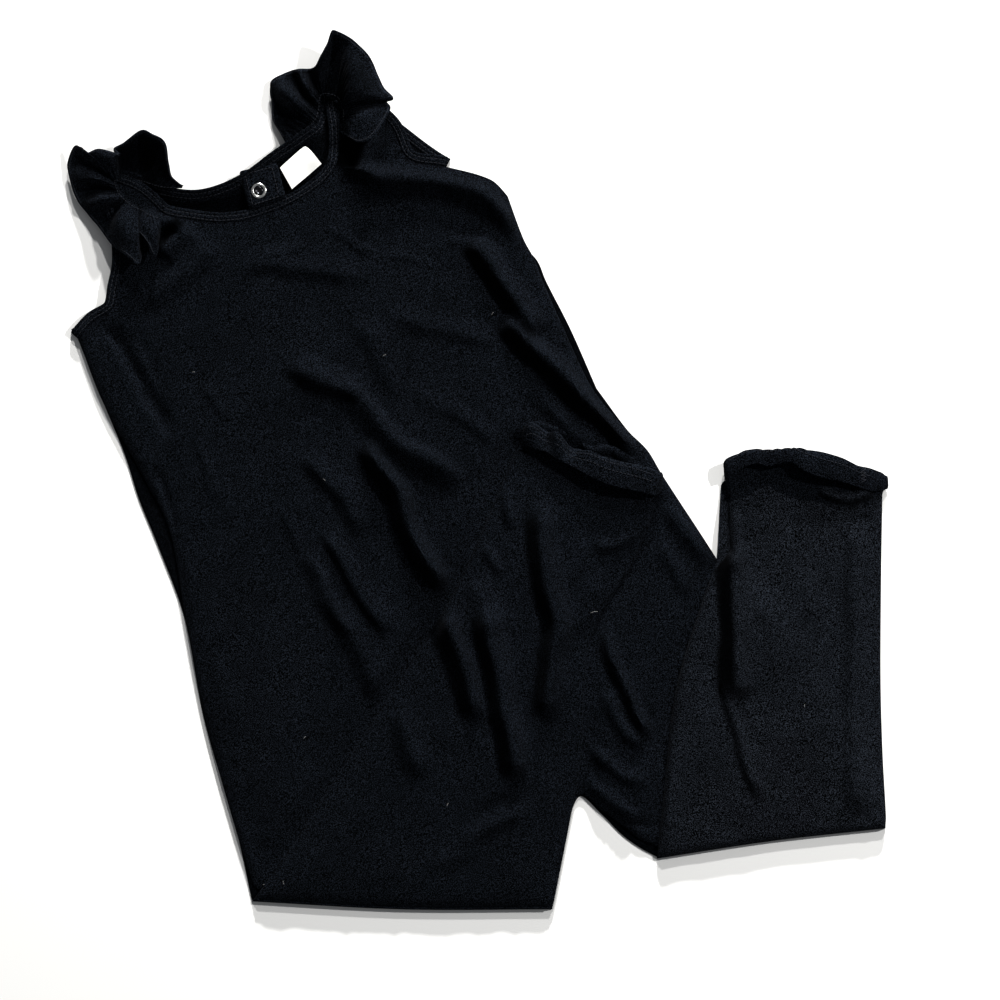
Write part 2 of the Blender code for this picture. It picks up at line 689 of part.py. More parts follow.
def hem_lift(p, seam):
    """How far a shin rises towards its hem, so that the two meet all along the seam."""
    ends = np.array(((seam.left_x, seam.left_y),)), np.array(((seam.right_x, seam.right_y),))
    distance, _, across = to_segments(p, *ends)
    arch = seam.arch * np.sin(math.pi * across) ** HEM_ROUND
    lift = np.maximum(arch + CLOTH + GAP - INNER_FULL - INNER_AIR, 0.0)
    return lift * ease(1.0 - distance / HEM_REACH)


class Lay:
    """The panels' outlines as they lie, and the heights at which they lie."""

    def __init__(self):
        self.front = Outline(FRONT, PANEL_STEP)
        self.back = Outline(BACK, PANEL_STEP)
        self.left_shin = Outline(LEFT_SHIN, SHIN_STEP)
        self.right_shin = Outline(RIGHT_SHIN, SHIN_STEP)
        self.left_press = Outline(with_mouth(LEFT_SHIN, LEFT_HEM[-1]), SHIN_STEP)

    def front_lower(self, p):
        """The front's underside: rolled down at its closed edges, flat under the shins."""
        near_shin = np.maximum(self.left_press.depth(p), self.right_shin.depth(p))
        free = ease((-near_shin - PRESS_CLEAR) / PRESS_REACH)
        edge = rise_in(to_segments(p, *self.front.segments(CLOSED_EDGES))[0], ROLL)
        rise = PRESSED + (AIR - PRESSED) * free + fold_height(p, FRONT_FOLDS) * free
        return CLOTH + GAP + edge * rise

    def left_floor(self, p):
        """What the left shin lies on: the flat thigh."""
        return np.full(len(p), CLOTH + GAP + PRESSED + CLOTH + GAP)

    def right_floor(self, p):
        """What the right shin lies on: the thigh, then the surface past its outer side."""
        return self.left_floor(p) * (1.0 - rise_in(-self.front.depth(p) - DRAPE_START, DRAPE))

    def drape_guides(self):
        """Points along the two lines between which the right shin comes down."""
        path, outward = self.front.stretch("right knee outside", "right hip low")
        return [p + n * d for d in (DRAPE_START, DRAPE_START + DRAPE) for p, n in zip(path, outward)]


def make_back(lay):
    """The whole back, flat on the surface."""
    flat = flat_mesh(lay.back, BACK_SPACING, rings=())
    lower = np.zeros(len(flat[0]))
    wall("back", flat, lower, lower + CLOTH, BLACK_JERSEY)


def make_front(lay):
    """The whole front, with its folds, pressed flat under the shins."""
    guides = []
    for shin in (lay.right_shin, lay.left_press):
        guides += list(shin.points + shin.outward() * PRESS_CLEAR)
    flat = flat_mesh(lay.front, FRONT_SPACING, guides + fold_guides(FRONT_FOLDS))
    lower = lay.front_lower(flat[0])
    wall("front", flat, lower, lower + CLOTH, BLACK_JERSEY)


def make_shin(name, outline, floor, folds, seam, drape):
    """A folded-up shin's outer panel, closed down at its sides and at the knee."""
    flat = flat_mesh(outline, SHIN_SPACING, drape + fold_guides(folds), (SHIN_ROLL,))
    place = flat[0]
    closed = to_segments(place, *outline.segments(("side", "knee")))[0]
    knee = to_segments(place, *outline.segments(("knee",)))[0] < KNEE_EDGE
    base = np.where(knee, CLOTH + GAP, floor(place))
    full = floor(place) + INNER_FULL + INNER_AIR
    full += np.maximum(fold_height(place, folds), hem_lift(place, seam))
    lower = base + (full - base) * rise_in(closed, SHIN_ROLL)
    wall(name, flat, lower, lower + CLOTH, BLACK_JERSEY)


def make_inner(name, outline, floor, drape):
    """The hidden layer inside a folded-up shin, rounded at its edge."""
    inner = inset_outline(outline, INNER_INSET)
    flat = flat_mesh(inner, INNER_SPACING, drape, (SHIN_ROLL,))
    lower = floor(flat[0])
    edge = rise_in(inner.depth(flat[0]), SHIN_ROLL)
    thick = INNER_EDGE + (INNER_FULL - INNER_EDGE) * edge
    wall(name, flat, lower, lower + thick, BLACK_JERSEY)


def make_legs(lay):
    """Both folded-up legs: shins, hidden layers and hems."""
    drape = lay.drape_guides()
    make_shin("left_shin", lay.left_shin, lay.left_floor, LEFT_SHIN_FOLDS, LEFT_HEM[0], [])
    make_shin("right_shin", lay.right_shin, lay.right_floor, RIGHT_SHIN_FOLDS, RIGHT_HEM[0], drape)
    make_inner("left_shin_inner", lay.left_shin, lay.left_floor, [])
    make_inner("right_shin_inner", lay.right_shin, lay.right_floor, drape)
    hem_ring("left_hem", LEFT_HEM)
    hem_ring("right_hem", RIGHT_HEM)


def make_bindings(lay):
    """The bindings of the neck and both armholes, beside the front and the back."""
    stretches = (("neck_binding", "right shoulder inside", "left shoulder inside"),
                 ("left_armhole_binding", "left shoulder outside", "left underarm"),
                 ("right_armhole_binding", "right armhole low", "right shoulder outside"))
    folded = binding_section(BINDING_WIDTH, BINDING_HEIGHT)
    flat = binding_section(BINDING_WIDTH, CLOTH)
    for place, first, last in stretches:
        neck = place == "neck_binding"
        path, outward = lay.front.stretch(first, last)
        name = "front_neck_binding" if neck else f"{place}_front"
        swept(name, path, outward, lay.front_lower(path), folded, BLACK_JERSEY)
        path, outward = lay.back.stretch(first, last)
        name = "back_neck_binding" if neck else f"{place}_back"
        swept(name, path, outward, np.zeros(len(path)), flat, BLACK_JERSEY)


def make_ruffles():
    """Both flutter sleeves, each seated beside its armhole on the front."""
    on_front = CLOTH + GAP + AIR + CLOTH + GAP + CLOTH / 2
    ruffle("left_ruffle", LEFT_RIBS, on_front - CLOTH + BINDING_HEIGHT)
    ruffle("right_ruffle", RIGHT_RIBS, on_front)


def make_neck_pieces():
    """What lies inside the neck: the placket's tab, its ring snap and the blank label."""
    on_back = CLOTH + GAP
    patch("placket_tab", TAB, on_back, CLOTH, BLACK_JERSEY)
    patch("label", LABEL, on_back, LABEL_CLOTH, WHITE_SATIN)
    on_tab = on_back + CLOTH + GAP
    turns = [2 * math.pi * k / SNAP_WIRE_SIDES for k in range(SNAP_WIRE_SIDES)]
    ring = [(SNAP_RADIUS + SNAP_WIRE * math.cos(a), on_tab + SNAP_WIRE * (1 + math.sin(a))) for a in turns]
    turned("snap_ring", SNAP, ring, True, SILVER)
    cap = ((SNAP_CAP_RADIUS, on_tab), (SNAP_CAP_RADIUS, on_tab + SNAP_CAP_HEIGHT / 2),
           (SNAP_CAP_RADIUS * 0.6, on_tab + SNAP_CAP_HEIGHT))
    turned("snap_cap", SNAP, cap, False, SILVER)


def main():
    """Clear the scene and build the romper."""
    for old in list(bpy.data.objects):
        bpy.data.objects.remove(old, do_unlink=True)
    lay = Lay()
    make_back(lay)
    make_front(lay)
    make_legs(lay)
    make_bindings(lay)
    make_ruffles()
    make_neck_pieces()


main()
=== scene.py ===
"""The looks of a child's black jersey romper with flutter sleeves, laid flat, legs folded up.

The frame's solids hold the sizes. Here every piece of cloth becomes a thin shell on
its solid's form, with its own creases, seams and stitches. Tables are in millimetres:
X across the surface, Y up it, Z off it. A smooth curve joins the places of a table.
"""

import logging
import math
from dataclasses import dataclass, field
from enum import Enum
from typing import Callable, NamedTuple, Optional, Sequence

import bpy
import numpy as np
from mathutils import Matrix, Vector, geometry, noise


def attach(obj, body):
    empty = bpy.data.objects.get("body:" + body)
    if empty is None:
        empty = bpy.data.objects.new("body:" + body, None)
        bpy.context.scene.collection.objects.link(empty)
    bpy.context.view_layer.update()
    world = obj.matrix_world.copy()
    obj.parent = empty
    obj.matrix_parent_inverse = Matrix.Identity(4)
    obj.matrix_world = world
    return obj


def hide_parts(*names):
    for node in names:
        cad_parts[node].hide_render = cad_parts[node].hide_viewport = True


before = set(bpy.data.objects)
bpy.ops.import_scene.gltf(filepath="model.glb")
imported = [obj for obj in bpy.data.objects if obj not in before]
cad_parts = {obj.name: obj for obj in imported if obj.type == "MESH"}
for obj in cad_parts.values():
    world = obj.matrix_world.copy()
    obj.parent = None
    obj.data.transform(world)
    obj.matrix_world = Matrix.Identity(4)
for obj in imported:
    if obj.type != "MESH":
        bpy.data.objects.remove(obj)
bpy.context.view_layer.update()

log = logging.getLogger("romper")

MM = 0.001
BODY = "root"
# The mesh attribute that carries painted shade, and painted highlights below 0, into the jersey's colour.
SHADE_ATTRIBUTE = "painted_shade"
POINTS_AT_ONCE = 1500
TINY = 1e-9
Array = np.ndarray
Place = tuple[float, float]
Place3 = tuple[float, float, float]
Piece = bpy.types.Object
Material = bpy.types.Material
Tree = bpy.types.NodeTree
Node = bpy.types.Node
Socket = bpy.types.NodeSocket


# --------------------------------------------------------------------------- curves

def smoothstep(t: Array) -> Array:
    """Ease from 0 to 1."""
    t = np.clip(t, 0.0, 1.0)
    return t * t * (3.0 - 2.0 * t)


def eased(value: Array, start: float, reach: float) -> Array:
    """Ease from 0 to 1, from a start and over a reach."""
    return smoothstep((value - start) / reach)


def rolled(distance: Array, reach: float) -> Array:
    """A quarter round: steep at the edge, level from the reach inwards."""
    inner = 1.0 - np.clip(distance / reach, 0.0, 1.0)
    return np.sqrt(np.maximum(1.0 - inner * inner, 0.0))


def cubic(here: Array, there: Array, leave: Array, arrive: Array, t: float) -> Array:
    """The value at a share t of the way between two, with the directions at both ends given."""
    return (here * (2 * t**3 - 3 * t**2 + 1) + leave * (t**3 - 2 * t**2 + t)
            + there * (3 * t**2 - 2 * t**3) + arrive * (t**3 - t**2))


def through(places: Sequence, step: float) -> Array:
    """Points along a smooth curve through the places.

    Args:
        places: The places, of any number of coordinates.
        step: The spacing of the points, about.

    Returns:
        One row for each point, the places themselves among them.
    """
    places = np.array(places, float)
    rows = [places[0]]
    for i in range(len(places) - 1):
        here, there = places[i], places[i + 1]
        chord = max(np.linalg.norm(there - here), TINY)
        leave = arrive = there - here
        if i > 0:
            before = np.linalg.norm(here - places[i - 1])
            leave = (there - places[i - 1]) * chord / (before + chord)
        if i + 2 < len(places):
            after = np.linalg.norm(places[i + 2] - there)
            arrive = (places[i + 2] - here) * chord / (chord + after)
        count = max(1, round(chord / step))
        rows += [cubic(here, there, leave, arrive, k / count) for k in range(1, count + 1)]
    return np.array(rows)


def blended(rows: Array, counts: int, closed: bool = False) -> Array:
    """Rows of values carried smoothly from one to the next.

    Args:
        rows: The values, one row for each station.
        counts: Steps between two stations.
        closed: Whether the last station leads back to the first.

    Returns:
        The finer rows; a closed loop doesn't repeat its first row.
    """
    total = len(rows)
    spans = total if closed else total - 1
    made = []
    for i in range(spans):
        here, there = rows[i], rows[(i + 1) % total]
        before = rows[(i - 1) % total] if closed or i > 0 else here
        after = rows[(i + 2) % total] if closed or i + 2 < total else there
        leave, arrive = (there - before) / 2, (after - here) / 2
        made += [cubic(here, there, leave, arrive, k / counts) for k in range(counts)]
    if not closed:
        made.append(rows[-1])
    return np.array(made)


def run_along(path: Array) -> Array:
    """How far along a path each of its points lies."""
    return np.concatenate(([0.0], np.cumsum(np.linalg.norm(np.diff(path, axis=0), axis=1))))


def read_at(stops: Array, run: Array, rows: Array) -> Array:
    """Rows of values, known along a run, read at other stops on it."""
    return np.column_stack([np.interp(stops, run, rows[:, k]) for k in range(rows.shape[1])])


def evenly(curve: Array, count: int) -> Array:
    """A curve's points, spaced evenly along it."""
    run = run_along(curve)
    return read_at(np.linspace(0.0, run[-1], count), run, curve)


def unit(vectors: Array) -> Array:
    """Directions of length one."""
    return vectors / np.maximum(np.linalg.norm(vectors, axis=-1), TINY)[..., None]


def to_segments(p: Array, a: Array, b: Array) -> tuple[Array, Array, Array]:
    """Measure points against straight pieces.

    Args:
        p: The points.
        a: Where each piece starts.
        b: Where each piece ends.

    Returns:
        For each point its distance, the nearest piece and how far along it.
    """
    distance, nearest, share = np.empty(len(p)), np.empty(len(p), int), np.empty(len(p))
    along = b - a
    length2 = np.maximum((along**2).sum(axis=1), 1e-12)
    for start in range(0, len(p), POINTS_AT_ONCE):
        these = slice(start, start + POINTS_AT_ONCE)
        part = p[these]
        t = (part @ along.T - (a * along).sum(axis=1)) / length2
        t = np.clip(t, 0.0, 1.0)
        dx = part[:, 0:1] - (a[:, 0] + t * along[:, 0])
        dy = part[:, 1:2] - (a[:, 1] + t * along[:, 1])
        squared = dx * dx + dy * dy
        best = squared.argmin(axis=1)
        rows = np.arange(len(part))
        distance[these], nearest[these], share[these] = np.sqrt(squared[rows, best]), best, t[rows, best]
    return distance, nearest, share


def ripple(p: Array, size: float, seed: float, turn: float = 0.0, stretch: float = 1.0) -> Array:
    """Soft noise from -1 to 1 over points.

    Args:
        p: The points.
        size: The width of its hills.
        seed: Which of the endless fields to read.
        turn: The direction along which the hills are longer, in degrees.
        stretch: How much longer they are that way.

    Returns:
        One value for each point.
    """
    c, s = math.cos(math.radians(turn)), math.sin(math.radians(turn))
    along = (p[:, 0] * c + p[:, 1] * s) / (size * stretch)
    across = (p[:, 1] * c - p[:, 0] * s) / size
    return np.array([noise.noise(Vector((u, v, seed))) for u, v in zip(along, across)])


def ripple_along(run: Array, size: float, seed: float) -> Array:
    """Soft noise from -1 to 1 along a run."""
    return ripple(np.column_stack((run, run * 0.0)), size, seed)


# --------------------------------------------------------------------------- outlines

class Bend(Enum):
    """How an outline passes a place."""

    SOFT = "soft"
    SHARP = "sharp"


class Edge(Enum):
    """What a stretch of a panel's edge is."""

    ARMHOLE = "armhole"
    SHOULDER = "shoulder"
    NECK = "neck"
    SIDE = "side"
    INSEAM = "inseam"
    KNEE = "knee"
    HEM = "hem"


class Spot(NamedTuple):
    """A place on a panel's outline, and the kind of edge that leaves it."""

    place: str
    x: float
    y: float
    bend: Bend
    edge: Edge


class Stretch(NamedTuple):
    """A run of one kind of edge: the name of the place where it starts, and its places from there."""

    start: str
    edge: Edge
    places: tuple[Place, ...]
    bend: Bend = Bend.SHARP

    def spots(self) -> list[Spot]:
        """Its places; only the first has a name, and may be sharp."""
        rest = [Spot("", x, y, Bend.SOFT, self.edge) for x, y in self.places[1:]]
        return [Spot(self.start, *self.places[0], self.bend, self.edge), *rest]


class Outline:
    """A closed edge through named places, counter-clockwise, with the kind of each stretch."""

    def __init__(self, stretches: Sequence[Stretch], step: float) -> None:
        """Run a smooth curve between the sharp places.

        Args:
            stretches: Its stretches, in either direction round.
            step: The spacing of the edge's points, about.
        """
        spots = [spot for stretch in stretches for spot in stretch.spots()]
        turn = sum(a.x * b.y - b.x * a.y for a, b in zip(spots, [*spots[1:], spots[0]]))
        if turn < 0:
            spots = self._reversed(spots)
        corners = [i for i, spot in enumerate(spots) if spot.bend is Bend.SHARP]
        points: list = []
        self.kinds: list[Edge] = []
        self.at: dict[str, int] = {}
        for n, first in enumerate(corners):
            last = corners[(n + 1) % len(corners)]
            span = (last - first) % len(spots) or len(spots)
            run = [spots[(first + k) % len(spots)] for k in range(span + 1)]
            curve = through([(spot.x, spot.y) for spot in run], step)
            start = len(points)
            for a, b in zip(run, run[1:]):
                self.at[a.place] = start
                count = max(1, round(math.dist(a[1:3], b[1:3]) / step))
                self.kinds += [a.edge] * count
                start += count
            points.extend(curve[:-1])
        self.points = np.array(points)

    @staticmethod
    def _reversed(spots: Sequence[Spot]) -> list[Spot]:
        """The same places the other way round, each edge kept between its two places."""
        count = len(spots)
        return [spots[-i % count]._replace(edge=spots[(-i - 1) % count].edge) for i in range(count)]

    def segments(self, kinds: Optional[Sequence[Edge]] = None) -> tuple[Array, Array]:
        """The edge's straight pieces, of the kinds asked for, as start and end points.

        Args:
            kinds: The kinds of edge wanted; every one if not given.

        Returns:
            Their starts, then their ends.
        """
        ends = np.roll(self.points, -1, axis=0)
        keep = np.array([kinds is None or kind in kinds for kind in self.kinds])
        return self.points[keep], ends[keep]

    def inside(self, p: Array) -> Array:
        """Whether each point lies inside.

        Args:
            p: The points.

        Returns:
            True for each that does.
        """
        a, b = self.points, np.roll(self.points, -1, axis=0)
        rise = np.where(b[:, 1] == a[:, 1], TINY, b[:, 1] - a[:, 1])
        found = np.empty(len(p), bool)
        for start in range(0, len(p), POINTS_AT_ONCE):
            these = slice(start, start + POINTS_AT_ONCE)
            x, y = p[these, 0:1], p[these, 1:2]
            crosses = (a[:, 1] > y) != (b[:, 1] > y)
            at_x = a[:, 0] + (y - a[:, 1]) / rise * (b[:, 0] - a[:, 0])
            found[these] = (crosses & (x < at_x)).sum(axis=1) % 2 == 1
        return found

    def distance(self, p: Array, kinds: Optional[Sequence[Edge]] = None) -> Array:
        """How far each point lies from the stretches of these kinds."""
        return to_segments(p, *self.segments(kinds))[0]

    def depth(self, p: Array) -> Array:
        """How far in from the edge each point lies: negative outside."""
        distance = self.distance(p)
        return np.where(self.inside(p), distance, -distance)

    def outward(self) -> Array:
        """The direction out from the edge at each of its points."""
        along = unit(np.roll(self.points, -1, axis=0) - np.roll(self.points, 1, axis=0))
        return np.column_stack((along[:, 1], -along[:, 0]))

    def stretch(self, first: str, last: str) -> tuple[Array, Array]:
        """The edge from one named place to another.

        Args:
            first: The place where the stretch starts, counter-clockwise.
            last: The place where it ends.

        Returns:
            Its points, and the direction out at each.
        """
        i, j, count = self.at[first], self.at[last], len(self.points)
        path = self.points[[k % count for k in range(i, i + (j - i) % count + 1)]]
        along = unit(np.gradient(path, axis=0))
        return path, np.column_stack((along[:, 1], -along[:, 0]))

    def inset(self, by: float) -> "Outline":
        """The same edge moved in, with points that would crowd left out.

        Args:
            by: How far in.

        Returns:
            The smaller edge.
        """
        moved = self.points - self.outward() * by
        keep = self.depth(moved) > by * 0.9
        smaller = object.__new__(Outline)
        smaller.points = moved[keep]
        smaller.kinds = [kind for kind, kept in zip(self.kinds, keep) if kept]
        smaller.at = {}
        return smaller


# --------------------------------------------------------------------------- creases

CREST_STEP = 5.0
FOLD_REACH = 1.4
FOLD_MARGIN = 4.0
SHADE_FADE = 0.12
WAVER = 2.2


@dataclass(frozen=True)
class Fold:
    """A ridge along a path, or a trough where its height is negative.

    Attributes:
        place: Where it lies.
        path: The places of its crest.
        height: How far it stands up.
        left: Its width to the left of the path.
        right: Its width to the right.
        fade: The share of its length over which each end dies away.
        hollow: How much painted shade darkens its right flank, from 0 to 1.
    """

    place: str
    path: tuple[Place, ...]
    height: float
    left: float
    right: float
    fade: float = 0.35
    hollow: float = 0.0

    def measure(self, p: Array) -> tuple[Array, Array, Array, Array, Array]:
        """Where points lie on the fold.

        Args:
            p: The points.

        Returns:
            Which points are near, and for each of those, whether it lies left of the crest, how far out as a
            share of the width, how far along as a share of the length, and how far along in all.
        """
        crest = through(self.path, CREST_STEP)
        start, end = crest[:-1], crest[1:]
        piece_length = np.linalg.norm(end - start, axis=1)
        low, high = crest.min(axis=0), crest.max(axis=0)
        margin = max(self.left, self.right) * FOLD_REACH + FOLD_MARGIN
        near = ((p > low - margin) & (p < high + margin)).all(axis=1)
        q = p[near]
        distance, piece, share = to_segments(q, start, end)
        across = end[piece] - start[piece]
        offset = q - start[piece]
        left = across[:, 0] * offset[:, 1] - across[:, 1] * offset[:, 0] > 0
        before = run_along(crest)
        run = before[piece] + share * piece_length[piece]
        either_side = np.column_stack((run, np.where(left, 30.0, -30.0)))
        uneven = 1.0 + 0.22 * ripple(either_side, 26.0, self.height + 3.7)
        width = np.where(left, self.left, self.right) * uneven
        return near, left, (np.sqrt(distance**2 + 1.0) - 1.0) / width, run / before[-1], run

    @staticmethod
    def taper(along: Array, fade: float) -> Array:
        """From 0 at both ends to 1 past the share of the length over which they die away."""
        return smoothstep(along / fade) * smoothstep((1.0 - along) / fade)

    def rise(self, p: Array) -> Array:
        """The height that the fold adds at each point.

        Args:
            p: The points.

        Returns:
            A height for each.
        """
        near, _, out, along, run = self.measure(p)
        added = np.zeros(len(p))
        u = np.minimum(out, 1.0)
        bell = 0.55 * (1.0 - smoothstep(u)) + 0.45 * (1.0 - u) ** 2
        swell = 1.0 + 0.2 * ripple_along(run, 33.0, self.left + 9.1)
        added[near] = self.height * self.taper(along, self.fade) * bell * swell
        return added

    def painted_shade(self, p: Array) -> Array:
        """The painted shade on the fold's right flank at each point, from 0 to 1.

        Args:
            p: The points.

        Returns:
            A share for each.
        """
        near, left, out, along, _ = self.measure(p)
        # Painted shade: a band down the right flank, faded at both ends.
        kept = np.zeros(len(p))
        band = smoothstep((out - 0.06) / 0.16) * (1.0 - smoothstep((out - 0.72) / 0.3))
        kept[near] = self.hollow * np.where(left, 0.0, band) * self.taper(along, SHADE_FADE)
        return kept


def wavered(p: Array) -> Array:
    """Points after the slight waver that keeps folds from running too straight."""
    return p + np.column_stack((ripple(p, 24.0, 1.3), ripple(p, 24.0, 7.9))) * WAVER


def all_folds(p: Array, folds: Sequence[Fold]) -> Array:
    """The height of several folds together."""
    moved = wavered(p)
    return sum((fold.rise(moved) for fold in folds), np.zeros(len(p)))


def all_painted_shade(p: Array, folds: Sequence[Fold]) -> Array:
    """The painted shade of any fold's right flank at each point, from 0 to 1."""
    moved = wavered(p)
    return np.minimum(sum((fold.painted_shade(moved) for fold in folds if fold.hollow), np.zeros(len(p))), 1.0)


def lay_of_cloth(p: Array, turn: float, seed: float) -> Array:
    """The slight unevenness of jersey that lies loose.

    Args:
        p: The points.
        turn: The direction that its faint creases follow, in degrees.
        seed: A different number for each panel.

    Returns:
        Heights, about a millimetre either way.
    """
    hills = 0.8 * ripple(p, 46.0, seed, turn, 1.6) + 0.6 * ripple(p, 21.0, seed + 5, turn + 25, 1.8)
    creases = 1.0 - np.abs(ripple(p, 30.0, seed + 11, turn, 2.6)) * 2.4
    small = 0.3 * ripple(p, 9.5, seed + 17, turn, 1.5) + 0.1 * ripple(p, 5.0, seed + 19, turn, 1.2)
    return hills + 0.55 * np.maximum(creases, 0.0) ** 3 + small


# --------------------------------------------------------------------------- meshes

CLEAR = 0.93


@dataclass
class Flat:
    """Triangles over an outline.

    Attributes:
        place: The points.
        triangles: Three point numbers each, counter-clockwise.
        loop: The numbers of the edge's points, in order.
    """

    place: Array
    triangles: list[tuple[int, int, int]]
    loop: list[int]


def fill(outline: Outline, spacing: float, rings: Sequence[float]) -> Flat:
    """Fill an outline with triangles: close rings along its edge, a level net inside.

    Args:
        outline: The edge.
        spacing: The distance between the net's points.
        rings: How far in from the edge the rings lie.

    Returns:
        The triangles.
    """
    inward = -outline.outward()
    parts = []
    for ring in rings:
        moved = outline.points + inward * ring
        parts.append(moved[outline.depth(moved) > ring * CLEAR])
    low, high = outline.points.min(axis=0), outline.points.max(axis=0)
    rows = np.arange(low[1], high[1], spacing * math.sqrt(0.75))
    columns = np.arange(low[0], high[0], spacing)
    grid = np.array([(x + (spacing / 2 if n % 2 else 0.0), y) for n, y in enumerate(rows) for x in columns])
    parts.append(grid[outline.depth(grid) > rings[-1] + spacing * 0.6])
    edge = len(outline.points)
    points = np.vstack([outline.points, *parts])
    made = geometry.delaunay_2d_cdt([tuple(p) for p in points], [], [list(range(edge))], 1, 1e-5)
    place = np.array([tuple(v) for v in made[0]])
    number = {old: new for new, olds in enumerate(made[3]) for old in olds}
    triangles = []
    for face in made[2]:
        a, b, c = place[face[0]], place[face[1]], place[face[2]]
        area = (b[0] - a[0]) * (c[1] - a[1]) - (b[1] - a[1]) * (c[0] - a[0])
        triangles.append(tuple(face) if area > 0 else tuple(reversed(face)))
    return Flat(place, triangles, [number[i] for i in range(edge)])


def mesh_object(name: str, points: Array, faces: list, finish: Material,
                sharp: float = 62.0) -> Piece:
    """A smooth mesh object from points in millimetres.

    Args:
        name: The piece's name.
        points: One row for each point.
        faces: Point numbers.
        finish: Its material.
        sharp: The angle above which an edge stays crisp, in degrees.

    Returns:
        The object, in the scene.
    """
    mesh = bpy.data.meshes.new(name)
    mesh.from_pydata((np.asarray(points) * MM).tolist(), [], faces)
    mesh.validate()
    mesh.shade_smooth()
    mesh.set_sharp_from_angle(angle=math.radians(sharp))
    mesh.materials.append(finish)
    made = bpy.data.objects.new(name, mesh)
    bpy.context.scene.collection.objects.link(made)
    return made


def store_painted_shade(piece: Piece, painted_shade: Array) -> None:
    """Store the painted shade of each point of a two-sided wall, the same on both sides; below 0 it stands
    for a painted highlight.
    """
    kept = piece.data.attributes.new(SHADE_ATTRIBUTE, "FLOAT", "POINT")
    kept.data.foreach_set("value", np.concatenate((painted_shade, painted_shade)).astype(np.float32))


def cloth_wall(name: str, flat: Flat, lower: Array, upper: Array, finish: Material,
               above: Optional[Material] = None,
               painted_shade: Optional[Array] = None) -> Piece:
    """A thin shell over a flat net, between two heights.

    Args:
        name: The piece's name.
        flat: Its triangles.
        lower: The height of its underside at each point.
        upper: The height of its top.
        finish: Its material.
        above: The material of its top side, where that is another.
        painted_shade: The painted shade at each point, from 0 to 1.

    Returns:
        The object.
    """
    count = len(flat.place)
    points = np.vstack((np.column_stack((flat.place, upper)), np.column_stack((flat.place, lower))))
    faces = list(flat.triangles)
    faces += [(a + count, c + count, b + count) for a, b, c in flat.triangles]
    for a, b in zip(flat.loop, flat.loop[1:] + flat.loop[:1]):
        faces.append((a, a + count, b + count, b))
    made = mesh_object(name, points, faces, finish)
    if above:
        made.data.materials.append(above)
        for face in made.data.polygons[:len(flat.triangles)]:
            face.material_index = 1
    if painted_shade is not None:
        store_painted_shade(made, painted_shade)
    return made


def off_grid(grid: Array, closed: bool = False) -> Array:
    """The direction square off a grid of points, closed where its last column joins its first."""
    ahead = np.roll(grid, -1, axis=0) - np.roll(grid, 1, axis=0) if closed else np.gradient(grid, axis=0)
    return unit(np.cross(ahead, np.gradient(grid, axis=1)))


def grid_wall(name: str, grid: Array, thickness: Array, finish: Material,
              closed: bool = False, painted_shade: Optional[Array] = None) -> Piece:
    """A thin shell through a grid of points, thick to both sides of it.

    Args:
        name: The piece's name.
        grid: Points by column and row.
        thickness: The shell's thickness, one value for each row.
        finish: Its material.
        closed: Whether the last column joins the first.
        painted_shade: The painted shade by column and row, from 0 to 1, or below 0 for a painted highlight.

    Returns:
        The object.
    """
    columns, rows = grid.shape[:2]
    half = off_grid(grid, closed) * (np.asarray(thickness)[None, :, None] / 2)
    points = np.vstack(((grid + half).reshape(-1, 3), (grid - half).reshape(-1, 3)))
    size = columns * rows
    faces = []
    for c in range(columns if closed else columns - 1):
        d = (c + 1) % columns
        for r in range(rows - 1):
            quad = (c * rows + r, d * rows + r, d * rows + r + 1, c * rows + r + 1)
            faces.append(quad)
            faces.append(tuple(i + size for i in reversed(quad)))
        for r, flip in ((0, False), (rows - 1, True)):
            rim = (d * rows + r, c * rows + r, c * rows + r + size, d * rows + r + size)
            faces.append(tuple(reversed(rim)) if flip else rim)
    if not closed:
        for c, flip in ((0, True), (columns - 1, False)):
            for r in range(rows - 1):
                a = c * rows + r
                rim = (a + 1, a, a + size, a + 1 + size)
                faces.append(tuple(reversed(rim)) if flip else rim)
    made = mesh_object(name, points, faces, finish)
    if painted_shade is not None:
        store_painted_shade(made, painted_shade.reshape(-1))
    return made


def tube_ends(rings: int, size: int, base: int = 0) -> list[tuple[int, ...]]:
    """Both ends of a tube of rings of so many points, numbered from a base."""
    last = base + (rings - 1) * size
    return [tuple(reversed(range(base, base + size))), tuple(range(last, last + size))]


def tube_sides(rings: int, size: int, base: int = 0) -> list[tuple[int, ...]]:
    """The faces round a tube of rings of so many points, numbered from a base.

    Args:
        rings: How many rings it has.
        size: The points in each.
        base: The first point's number.

    Returns:
        The faces.
    """
    faces = []
    for row in range(base, base + (rings - 1) * size, size):
        for k in range(size):
            a, b = row + k, row + (k + 1) % size
            faces.append((a, b, b + size, a + size))
    return faces


def swept(name: str, path: Array, side: Array, section: Sequence[Place], finish: Material,
          swell: Array) -> Piece:
    """A strip along a path.

    Args:
        name: The piece's name.
        path: Its points, three coordinates each.
        side: The level direction in which the section's first coordinate points.
        section: A closed loop of (out, up) places.
        finish: Its material.
        swell: What the heights are multiplied by, one value for each point.

    Returns:
        The object, closed at both ends.
    """
    loop = np.array(section)
    rows = np.zeros((len(path), len(loop), 3))
    rows[..., 0:2] = path[:, None, 0:2] + side[:, None, :] * loop[None, :, 0:1]
    rows[..., 2] = path[:, None, 2] + loop[None, :, 1] * swell[:, None]
    size = (len(path), len(loop))
    return mesh_object(name, rows.reshape(-1, 3), tube_ends(*size) + tube_sides(*size), finish)


